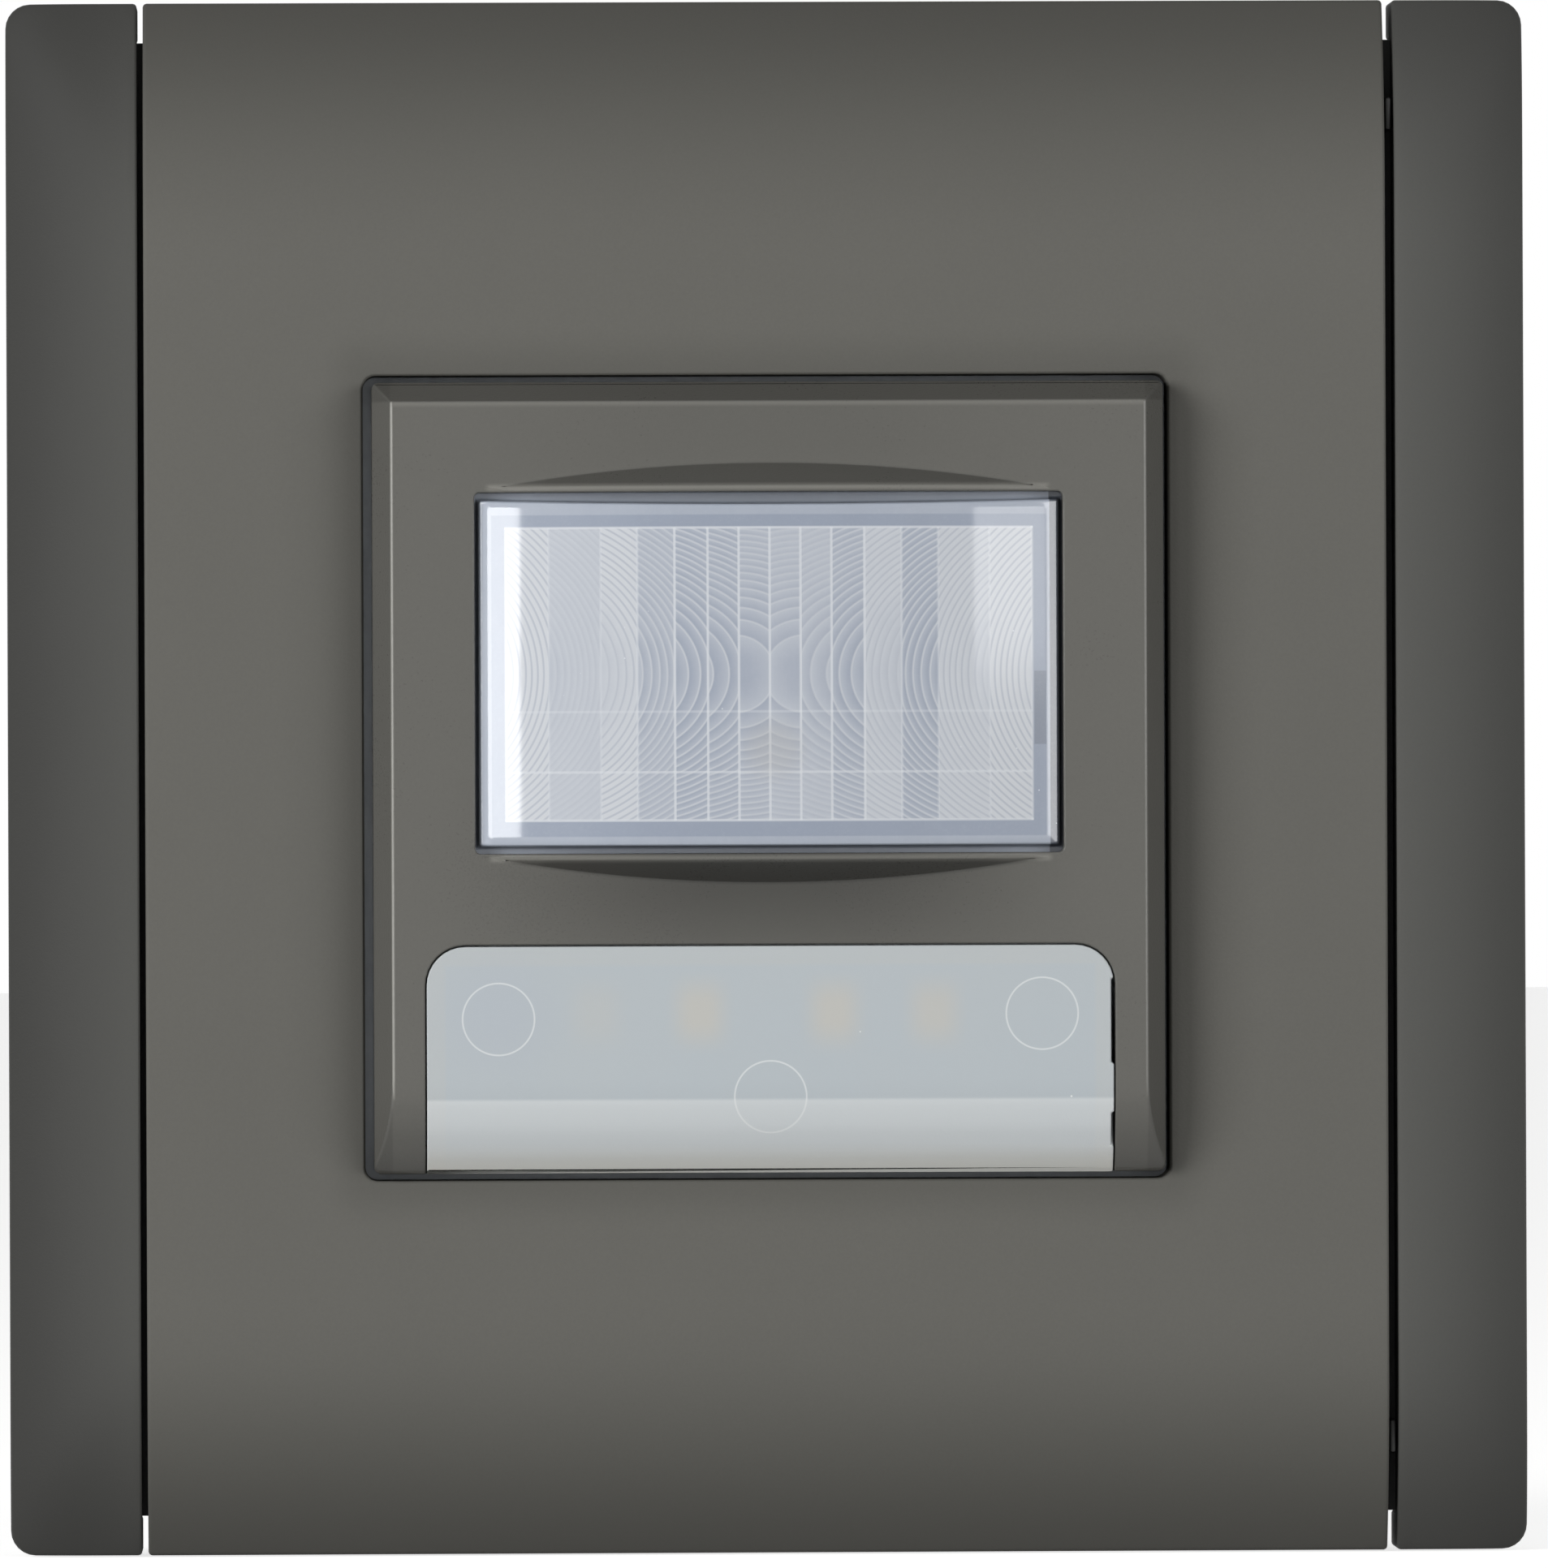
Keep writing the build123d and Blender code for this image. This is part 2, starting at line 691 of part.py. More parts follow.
def make_support_ring():
    """The sheet-steel ring that is screwed to the wall box, with two bent lugs for each claw."""
    z_span = (-overrun, ring_thickness + overrun)
    ring = cut_corner_slab(ring_size, ring_corner_cut, (0, ring_thickness))
    ring -= cut_corner_slab(ring_opening, ring_opening_corner_cut, z_span)
    for side in (-1, 1):
        claw_y = side * claw_offset_y
        ring -= box_slot(side * box_screw_spacing / 2, 0, True)
        ring -= box_slot(0, side * box_screw_spacing / 2, False)
        ring -= rod(claw_screw_radius + claw_screw_gap, z_span, (side * claw_screw_x, claw_y))
        for end in (-1, 1):
            inner_y = claw_y + end * (claw_width / 2 + slide_gap)
            outer_y = inner_y + end * lug_thickness
            lug_x = sorted((side * (claw_pivot_x - lug_reach), side * (claw_pivot_x + lug_reach)))
            ring += block(lug_x, sorted((inner_y, outer_y)), (-lug_depth, 0))
            leg_slot = (leg_width + 2 * slide_gap, leg_thickness + 2 * slide_gap)
            ring -= slab(*leg_slot, z_span, at=(side * leg_x, end * leg_y))
        pin_span = (claw_y - claw_width, claw_y + claw_width)
        ring -= upright_rod(claw_pin_radius + thread_gap, pin_span, side * claw_pivot_x, claw_pivot_z)
    for place in boss_places:
        ring -= rod(housing_screw_radius + slide_gap, z_span, place)
    return ring


def make_housing_front():
    """The front half of the housing: a flange on the ring and a dome with holes for what looks out."""
    flange_span = (ring_thickness, flange_front)
    wall_span = (dome_inside - overrun, dome_front + overrun)
    housing = slab(flange_size, flange_size, flange_span)
    housing += cut_corner_slab(dome_size, dome_corner_cut, (ring_thickness, dome_front))
    inside = dome_size - 2 * housing_wall
    housing -= cut_corner_slab(inside, dome_corner_cut, (ring_thickness - overrun, dome_inside))
    housing -= rod(pir_radius + slide_gap, wall_span, (0, lens_middle_y))
    housing -= rod(lamp_radius + slide_gap, wall_span, (0, light_sensor_y))
    for place in lamp_places:
        housing -= rod(lamp_radius + slide_gap, wall_span, place)
    for place in trimmer_places:
        housing -= rod(rotor_stem_radius + slide_gap, wall_span, place)
    for place in boss_places:
        housing -= rod(housing_screw_radius + slide_gap, (0, flange_front + overrun), place)
    return housing


def make_housing_rear():
    """The rear half of the housing, with screw bosses, board ribs, wire entries and screwdriver holes."""
    housing = slab(housing_size, housing_size, (housing_back, 0), housing_corner_radius)
    inner_radius = housing_corner_radius - housing_wall
    housing -= slab(housing_inner, housing_inner, (housing_floor, overrun), inner_radius)
    for place in boss_places:
        boss = rod(boss_radius, (housing_floor, 0), place)
        housing += boss & slab(housing_size, housing_size, (housing_floor, 0), housing_corner_radius)
        housing -= rod(housing_screw_radius + thread_gap, (-housing_screw_length, overrun), place)
    for side in (-1, 1):
        rib_x = sorted((side * rib_from_middle, side * housing_inner / 2))
        housing += block(rib_x, (-rib_width / 2, rib_width / 2), (housing_floor, power_board_back))
    for x in terminal_places:
        housing -= rod(wire_bore_radius, (housing_back - overrun, housing_floor + overrun), (x, wire_y))
        wall_y = (-housing_size / 2 - overrun, -housing_inner / 2 + overrun)
        housing -= upright_rod(terminal_head_radius + slide_gap, wall_y, x, terminal_screw_z)
    return housing


def make_housing_screws():
    """Four screws that clamp the ring between the two halves of the housing."""
    head = (housing_screw_head_radius, housing_screw_head_height)
    shank = (housing_screw_radius, housing_screw_length)
    return [Pos(x, y, flange_front) * screw(*head, *shank) for x, y in boss_places]


def header_places():
    """Where the pins between the two boards stand."""
    first = -(header_pin_count - 1) * header_pin_spacing / 2
    return [(first + pin * header_pin_spacing, header_y) for pin in range(header_pin_count)]


def header_pin(grow, z_span, place):
    """One square pin, or the hole for it when it is grown."""
    width = header_pin_width + 2 * grow
    return slab(width, width, z_span, at=place)


def make_board(front, back):
    """A printed circuit board with the holes for the pins that join it to the other one."""
    board = cut_corner_slab(board_size, board_corner_cut, (back, front))
    for place in header_places():
        board -= header_pin(thread_gap, (back - overrun, front + overrun), place)
    return board


def make_power_board():
    """The rear board, with slots for the tails of the terminal jaws."""
    board = make_board(power_board_front, power_board_back)
    for x in terminal_places:
        tail = (jaw_width + 2 * thread_gap, jaw_thickness + 2 * thread_gap)
        slot_span = (power_board_back - overrun, power_board_front + overrun)
        board -= slab(*tail, slot_span, at=(x, jaw_bottom + jaw_thickness / 2))
    return board


def make_header_block():
    """The plastic strip that holds the pins between the boards."""
    span = (power_board_front, sensor_board_back)
    strip = slab(header_pin_count * header_pin_spacing, header_block_width, span, at=(0, header_y))
    for place in header_places():
        strip -= header_pin(thread_gap, (span[0] - overrun, span[1] + overrun), place)
    return strip


def make_header_pins():
    """The pins that join the two boards."""
    span = (power_board_back - header_pin_proud, sensor_board_front + header_pin_proud)
    return [header_pin(0, span, place) for place in header_places()]


def make_pir_base():
    """The metal base of the infrared sensor."""
    return rod(pir_flange_radius, (sensor_board_front, pir_can_back), (0, lens_middle_y))


def make_pir_can():
    """The metal cap of the infrared sensor, with a square hole in its front."""
    inner_span = (pir_can_back - overrun, pir_can_front - pir_can_wall)
    can = rod(pir_radius, (pir_can_back, pir_can_front), (0, lens_middle_y))
    can -= rod(pir_radius - pir_can_wall, inner_span, (0, lens_middle_y))
    hole_span = (pir_can_back, pir_can_front + overrun)
    return can - slab(pir_window_width, pir_window_height, hole_span, at=(0, lens_middle_y))


def make_pir_window():
    """The dark filter that closes the hole from inside the cap."""
    width = pir_window_width + 2 * pir_window_rim
    height = pir_window_height + 2 * pir_window_rim
    front = pir_can_front - pir_can_wall
    return slab(width, height, (front - pir_can_wall, front), at=(0, lens_middle_y))


def make_pir_elements():
    """The two sensing elements side by side on the base."""
    offset = (pir_element_gap + pir_element_width) / 2
    span = (pir_can_back, pir_can_back + pir_element_thickness)
    sizes = (pir_element_width, pir_element_height, span)
    return [slab(*sizes, at=(side * offset, lens_middle_y)) for side in (-1, 1)]


def round_lamp(place):
    """A small clear lamp with a flange at its foot and a domed end."""
    foot = sensor_board_front + lamp_flange_height
    tip = foot + lamp_body_height - lamp_radius
    lamp = rod(lamp_flange_radius, (sensor_board_front, foot), place)
    lamp += rod(lamp_radius, (foot, tip), place)
    return lamp + Pos(place[0], place[1], tip) * Sphere(lamp_radius)


def make_control_chip():
    """The chip that reads the sensor and times the relay."""
    span = (sensor_board_front, sensor_board_front + chip_height)
    return slab(chip_width, chip_length, span, at=(chip_x, chip_y))


def make_trimmer_body(place):
    """The square body of one adjuster, with a well for its rotor."""
    span = (sensor_board_front, sensor_board_front + trimmer_height)
    body = slab(trimmer_size, trimmer_size, span, at=place)
    well = (span[1] - rotor_flange_height - slide_gap, span[1] + overrun)
    return body - rod(trimmer_bore_radius, well, place)


def make_rotor(place):
    """The part of an adjuster that a screwdriver turns."""
    foot = sensor_board_front + trimmer_height - rotor_flange_height
    rotor = rod(rotor_radius, (foot, foot + rotor_flange_height), place)
    rotor += rod(rotor_stem_radius, (foot, rotor_front), place)
    slot_x = (place[0] - rotor_stem_radius, place[0] + rotor_stem_radius)
    slot_y = (place[1] - rotor_slot_width / 2, place[1] + rotor_slot_width / 2)
    return rotor - block(slot_x, slot_y, (rotor_front - rotor_slot_depth, rotor_front + overrun))


def make_relay_base():
    """The floor of the relay, soldered to the power board."""
    return slab(relay_length, relay_width, (relay_base_back, power_board_back), at=(relay_x, relay_y))


def make_relay_case():
    """The dust cover of the relay."""
    case = slab(relay_length, relay_width, (relay_back, relay_base_back), at=(relay_x, relay_y))
    inner = (relay_length - 2 * relay_case_wall, relay_width - 2 * relay_case_wall)
    inner_span = (relay_back + relay_case_wall, relay_base_back + overrun)
    return case - slab(*inner, inner_span, at=(relay_x, relay_y))


def make_relay_yoke():
    """The L-shaped iron that leads the coil's field to the armature's pivot."""
    y_span = (relay_y - yoke_width / 2, relay_y + yoke_width / 2)
    floor = block((yoke_x, coil_x + bobbin_radius), y_span, (yoke_floor_back, relay_base_back))
    pivot_back = armature_front + pivot_gap
    upright = block((yoke_x, yoke_x + yoke_thickness), y_span, (pivot_back, relay_base_back))
    return floor + upright


def make_relay_core():
    """The iron core of the coil."""
    return rod(core_radius, (core_back, yoke_floor_back), (coil_x, relay_y))


def make_relay_bobbin():
    """The plastic former that the coil is wound on."""
    place = (coil_x, relay_y)
    former = rod(core_radius + bobbin_bore_wall, (bobbin_back, yoke_floor_back), place)
    former += rod(bobbin_radius, (bobbin_back, bobbin_back + bobbin_flange), place)
    former += rod(bobbin_radius, (yoke_floor_back - bobbin_flange, yoke_floor_back), place)
    return former - rod(core_radius, (bobbin_back - overrun, yoke_floor_back + overrun), place)


def make_relay_coil():
    """The copper winding between the former's two flanges."""
    place = (coil_x, relay_y)
    span = (bobbin_back + bobbin_flange, yoke_floor_back - bobbin_flange)
    return rod(winding_radius, span, place) - rod(core_radius + bobbin_bore_wall, span, place)


def make_relay_armature():
    """The iron plate that the core pulls in, pivoting on the yoke's edge."""
    y_span = (relay_y - yoke_width / 2, relay_y + yoke_width / 2)
    return block((yoke_x, yoke_x + armature_length), y_span, (armature_back, armature_front))


def make_contact_arm():
    """The spring arm on the armature, with the moving contact near its end."""
    y_span = (relay_y - contact_arm_width / 2, relay_y + contact_arm_width / 2)
    x_span = (yoke_x, yoke_x + contact_arm_length)
    arm = block(x_span, y_span, (armature_back - contact_arm_thickness, armature_back))
    return arm + rod(contact_radius, (armature_back, armature_back + contact_height), (contact_x, relay_y))


def make_fixed_contact():
    """The post that carries the fixed contact, facing the moving one."""
    face = armature_back + contact_height + contact_gap
    post_y = (relay_y - fixed_post_width / 2, relay_y + fixed_post_width / 2)
    post_x = (contact_x - fixed_post_thickness / 2, contact_x + fixed_post_thickness / 2)
    post = block(post_x, post_y, (face + contact_height, relay_base_back))
    return post + rod(contact_radius, (face, face + contact_height), (contact_x, relay_y))


def make_film_capacitor():
    """The boxed capacitor of the supply."""
    width, length, height = film_capacitor_size
    box = slab(width, length, (power_board_back - height, power_board_back), at=film_capacitor_at)
    return fillet(box.edges().group_by(Axis.Z)[0], film_capacitor_edge_radius)


def make_varistor():
    """The disc that soaks up mains spikes."""
    x_span = (varistor_x - varistor_thickness / 2, varistor_x + varistor_thickness / 2)
    return level_rod(varistor_radius, x_span, relay_y - varistor_radius, power_board_back - varistor_radius)


def board_place(place_share):
    """A place on the power board, from its shares of the board's half width."""
    return tuple(share * board_size / 2 for share in place_share)


def make_smoothing_capacitor():
    """The round capacitor, with the groove that its seal is crimped in."""
    top = power_board_front + smoothing_height
    smoothing_at = board_place(smoothing_place_share)
    can = rod(smoothing_radius, (power_board_front, top), smoothing_at)
    groove_foot = power_board_front + smoothing_groove_height
    groove_span = (groove_foot, groove_foot + smoothing_groove_height)
    groove = rod(smoothing_radius + overrun, groove_span, smoothing_at)
    return can - (groove - rod(smoothing_radius - smoothing_groove_depth, groove_span, smoothing_at))


def make_inductor():
    """The drum-shaped choke of the supply."""
    top = power_board_front + inductor_height
    inductor_at = board_place(inductor_place_share)
    drum = rod(inductor_core_radius, (power_board_front, top), inductor_at)
    drum += rod(inductor_radius, (power_board_front, power_board_front + inductor_flange), inductor_at)
    return drum + rod(inductor_radius, (top - inductor_flange, top), inductor_at)


def make_fuse_resistor():
    """The resistor that also blows as a fuse, with its two leads bent down to the board."""
    x, y = board_place(resistor_place_share)
    height = power_board_front + resistor_radius + seat_gap
    body = level_rod(resistor_radius, (x - resistor_length / 2, x + resistor_length / 2), y, height)
    reach = resistor_length / 2 + resistor_lead_length
    body += level_rod(resistor_lead_radius, (x - reach, x + reach), y, height)
    for side in (-1, 1):
        body += rod(resistor_lead_radius, (power_board_front, height), (x + side * reach, y))
    return body


def make_rectifier():
    """The bridge that turns the mains into direct current."""
    width, length, height = rectifier_size
    place = board_place(rectifier_place_share)
    return slab(width, length, (power_board_front, power_board_front + height), at=place)


def make_terminal_block():
    """The insulating block with a cell for each terminal's cage and a pocket for each screw's head."""
    half_width = terminal_places[-1] + terminal_cell_width / 2 + terminal_block_wall
    y_span = (terminal_block_bottom, terminal_block_top)
    body = block((-half_width, half_width), y_span, (terminal_block_back, terminal_block_front))
    for x in terminal_places:
        cell_x = (x - terminal_cell_width / 2, x + terminal_cell_width / 2)
        body -= block(cell_x, (cell_bottom, cell_top), (terminal_block_back - overrun, terminal_cell_front))
        pocket_y = (terminal_block_bottom - overrun, shoulder_y)
        body -= upright_rod(terminal_head_radius + slide_gap, pocket_y, x, terminal_screw_z)
        neck_y = (shoulder_y - overrun, cell_bottom + overrun)
        body -= upright_rod(terminal_screw_radius + slide_gap, neck_y, x, terminal_screw_z)
        body -= make_jaw(x, thread_gap)
    return body


def make_jaw(x, grow):
    """The fixed brass plate that a wire is clamped against, with its tail on the power board."""
    x_span = (x - jaw_width / 2 - grow, x + jaw_width / 2 + grow)
    y_span = (jaw_bottom - grow, jaw_top + grow)
    return block(x_span, y_span, (terminal_block_back + jaw_end_gap, power_board_front))


def make_cage(x):
    """The rising cage of one terminal: a square ring that the screw draws towards its head."""
    half = cage_outer_width / 2
    z_span = (terminal_screw_z - cage_depth / 2, terminal_screw_z + cage_depth / 2)
    cage = block((x - half, x + half), (cage_bottom, cage_top), z_span)
    inner = half - cage_side_wall
    through = (z_span[0] - overrun, z_span[1] + overrun)
    cage -= block((x - inner, x + inner), (cage_bottom + cage_end_wall, cage_top - cage_far_wall), through)
    hole = (cage_bottom - overrun, cage_bottom + cage_end_wall + thread_gap)
    return cage - upright_rod(terminal_screw_radius + thread_gap, hole, x, terminal_screw_z)


def make_terminal_screw(x):
    """The screw of one terminal, its head reached from below."""
    length = jaw_bottom - terminal_tip_gap - shoulder_y
    body = screw(terminal_head_radius, terminal_head_height, terminal_screw_radius, length)
    return Pos(x, shoulder_y, terminal_screw_z) * Rot(90, 0, 0) * body


def make_claw(side):
    """A forked claw that swings out of the ring and bites the box with its toothed foot."""
    outline = claw_width / 2
    x_span = (claw_pivot_x - claw_thickness / 2, claw_pivot_x + claw_thickness / 2)
    end = claw_pivot_z - claw_length
    claw = block(x_span, (-outline, outline), (end, claw_pivot_z))
    claw += upright_rod(claw_eye_radius, (-outline, outline), claw_pivot_x, claw_pivot_z)
    slot = claw_slot_width / 2
    slot_x = (claw_pivot_x - claw_width, claw_pivot_x + claw_width)
    claw -= block(slot_x, (-slot, slot), (end + claw_foot_length, claw_pivot_z + claw_width))
    pitch = claw_width / claw_tooth_count
    for tooth in range(claw_tooth_count):
        root = -outline + tooth * pitch
        points = [(0, root), (claw_tooth_length, root + pitch / 2), (0, root + pitch)]
        wedge = extrude(Polygon(*points, align=None), claw_foot_length)
        claw += Pos(x_span[1], 0, end) * wedge
    pin_span = (-claw_width, claw_width)
    claw -= upright_rod(claw_pin_radius + thread_gap, pin_span, claw_pivot_x, claw_pivot_z)
    placed = Pos(0, claw_offset_y, 0) * claw
    return placed if side > 0 else Rot(0, 0, 180) * placed


def make_claw_pin(side):
    """The pin that a claw swings on, held in the ring's two lugs."""
    reach = claw_width / 2 + slide_gap + lug_thickness
    pin = upright_rod(claw_pin_radius, (-reach, reach), claw_pivot_x, claw_pivot_z)
    return Rot(0, 0, 0 if side > 0 else 180) * Pos(0, claw_offset_y, 0) * pin


def make_claw_screw(side):
    """The long screw between a claw's two legs, with its head on the ring."""
    body = screw(claw_head_radius, claw_head_height, claw_screw_radius, claw_screw_length + ring_thickness)
    return Pos(side * claw_screw_x, side * claw_offset_y, ring_thickness) * body


def save_decor_frame():
    """The frame that shows round the module."""
    strip = make_side_strip()
    save("frame_base", make_frame_base())
    save("centre_panel", make_centre_panel())
    save("side_strip_right", strip)
    save("side_strip_left", mirror(strip, Plane.YZ))


def save_front_cover():
    """The cover with its lens and window, which pulls off in one piece."""
    save("insert_cover", make_insert_cover())
    save("fresnel_lens", make_fresnel_lens())
    save("lens_retainer", make_lens_retainer())
    save("light_window", make_light_window())
    save("light_tray", make_light_tray())


def save_housing():
    """The ring and the two halves of the housing."""
    save("support_ring", make_support_ring())
    save("housing_front", make_housing_front())
    save("housing_rear", make_housing_rear())
    save("housing_screws", *make_housing_screws())


def save_boards():
    """The boards and the small parts on the front one."""
    save("sensor_board", make_board(sensor_board_front, sensor_board_back))
    save("power_board", make_power_board())
    save("header_block", make_header_block())
    save("header_pins", *make_header_pins())
    save("pir_base", make_pir_base())
    save("pir_can", make_pir_can())
    save("pir_window", make_pir_window())
    save("pir_elements", *make_pir_elements())
    save("light_sensor", round_lamp((0, light_sensor_y)))
    save("night_light_lamps", *[round_lamp(place) for place in lamp_places])
    save("control_chip", make_control_chip())
    save("trimmer_bodies", *[make_trimmer_body(place) for place in trimmer_places])
    save("time_trimmer_rotor", make_rotor(trimmer_places[0]))
    save("lux_trimmer_rotor", make_rotor(trimmer_places[1]))


def save_relay():
    """The relay that switches the lamp."""
    save("relay_base", make_relay_base())
    save("relay_case", make_relay_case())
    save("relay_bobbin", make_relay_bobbin())
    save("relay_coil", make_relay_coil())
    save("relay_core", make_relay_core())
    save("relay_yoke", make_relay_yoke())
    save("relay_armature", make_relay_armature())
    save("relay_contact_arm", make_contact_arm())
    save("relay_fixed_contact", make_fixed_contact())


def save_supply():
    """The parts that turn the mains into a low voltage."""
    save("film_capacitor", make_film_capacitor())
    save("smoothing_capacitor", make_smoothing_capacitor())
    save("varistor", make_varistor())
    save("inductor", make_inductor())
    save("fuse_resistor", make_fuse_resistor())
    save("bridge_rectifier", make_rectifier())


def save_terminals():
    """The terminals for the wires in the wall box."""
    save("terminal_block", make_terminal_block())
    save("terminal_jaws", *[make_jaw(x, 0) for x in terminal_places])
    for name, x in zip(terminal_names, terminal_places):
        save(f"terminal_cage_{name}", make_cage(x))
        save(f"terminal_screw_{name}", make_terminal_screw(x))


def save_claws():
    """The claws that hold the switch in a box without screw posts."""
    save("claw_pins", make_claw_pin(-1), make_claw_pin(1))
    for name, side in (("left", -1), ("right", 1)):
        save(f"claw_{name}", make_claw(side))
        save(f"claw_screw_{name}", make_claw_screw(side))


os.makedirs("parts", exist_ok=True)
save_decor_frame()
save_front_cover()
save_housing()
save_boards()
save_relay()
save_supply()
save_terminals()
save_claws()
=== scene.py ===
"""Looks for a motion sensor light switch: a wall plate with a sensor lens and a night light."""

import json
import math
from contextlib import contextmanager

import bmesh
import bpy
from mathutils import Euler, Matrix, Vector


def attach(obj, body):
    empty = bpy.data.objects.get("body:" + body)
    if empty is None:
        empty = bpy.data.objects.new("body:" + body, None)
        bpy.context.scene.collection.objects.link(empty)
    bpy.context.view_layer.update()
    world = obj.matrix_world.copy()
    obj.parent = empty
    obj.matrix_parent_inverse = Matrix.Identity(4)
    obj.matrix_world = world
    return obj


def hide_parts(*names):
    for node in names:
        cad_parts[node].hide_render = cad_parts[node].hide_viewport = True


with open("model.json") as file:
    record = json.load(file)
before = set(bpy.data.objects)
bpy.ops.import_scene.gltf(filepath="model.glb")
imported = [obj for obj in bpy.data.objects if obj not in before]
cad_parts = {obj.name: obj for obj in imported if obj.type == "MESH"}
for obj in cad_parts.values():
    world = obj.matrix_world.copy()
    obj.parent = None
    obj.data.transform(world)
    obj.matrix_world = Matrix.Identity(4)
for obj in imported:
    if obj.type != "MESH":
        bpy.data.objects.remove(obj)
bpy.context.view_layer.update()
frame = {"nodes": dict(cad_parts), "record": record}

bl_info = {
    "name": "Motion sensor light switch",
    "version": (1, 0, 0),
    "blender": (4, 5, 0),
    "location": "3D View > Sidebar > Switch",
    "description": "Builds a wall switch with a motion sensor lens and a night light",
    "category": "Add Mesh",
}

MM = 0.001
OVERRUN = 1.0 * MM
MERGE = 0.0005 * MM
NEAR = 0.01 * MM
CUT_NEAR = 0.00001 * MM
SMOOTH_ANGLE = math.radians(28)
BEVEL_ANGLE = math.radians(24)
FLAT_ANGLE = math.radians(0.5)


# Values that a user can change

def length(name, millimetres, description, lowest=0.0):
    limits = {"min": lowest, "unit": "LENGTH"}
    return bpy.props.FloatProperty(name=name, description=description, default=millimetres * MM, **limits)


def place(name, millimetres, description):
    """A length that may also be negative."""
    return length(name, millimetres, description, lowest=-1.0)


def linear(value):
    """A screen value from 0 to 255 as the plain amount of light it stands for."""
    share = value / 255
    return share / 12.92 if share <= 0.04045 else ((share + 0.055) / 1.055) ** 2.4


def colour(name, screen, description):
    shades = tuple(linear(value) for value in screen)
    limits = {"min": 0, "max": 1, "size": 3, "subtype": "COLOR"}
    return bpy.props.FloatVectorProperty(name=name, description=description, default=shades, **limits)


class PlateSizes(bpy.types.PropertyGroup):
    """Sizes of the plate round the module."""

    width: length("Plate width", 86.6, "Over both side strips")
    height: length("Plate height", 88.5, "From the bottom edge to the top edge")
    edge_lift: length("Edge lift", 0.6, "Gap between the plate's edge and the wall")
    corner_radius: length("Corner radius", 1.4, "Radius of the plate's four corners")
    panel_width: length("Panel width", 70.7, "Width of the centre panel")
    panel_shift: place("Panel shift", -0.1, "How far the panel sits from the middle")
    panel_front: length("Panel front", 9.5, "Height of the panel's face above the wall")
    panel_wall: length("Panel wall", 1.6, "Thickness of the panel")
    end_drop: length("End drop", 2.8, "How far the panel falls back at its ends")
    roll_length: length("Roll length", 11.0, "Length of the rolled ends")
    opening: length("Opening", 45.8, "Width of the opening for the module")
    opening_radius: length("Opening radius", 0.7, "Corner radius of the opening")
    web_front: length("Base front", 5.0, "Height of the base that the panel sits on")
    base_width: length("Base width", 83.2, "Width of the base behind the strips")
    base_height: length("Base height", 84.1, "Height of the base behind the strips")
    base_gap: length("Base gap", 0.1, "Gap between the base and what sits on it")
    strip_inner: length("Strip inner edge", 35.8, "From the middle to a strip's inner edge")
    strip_front: length("Strip front", 9.3, "Height of a strip's inner edge above the wall")
    strip_drop: length("Strip drop", 2.9, "How far a strip falls back at its outer edge")
    edge_radius: length("Edge radius", 0.22, "Rounding of the plate's edges")


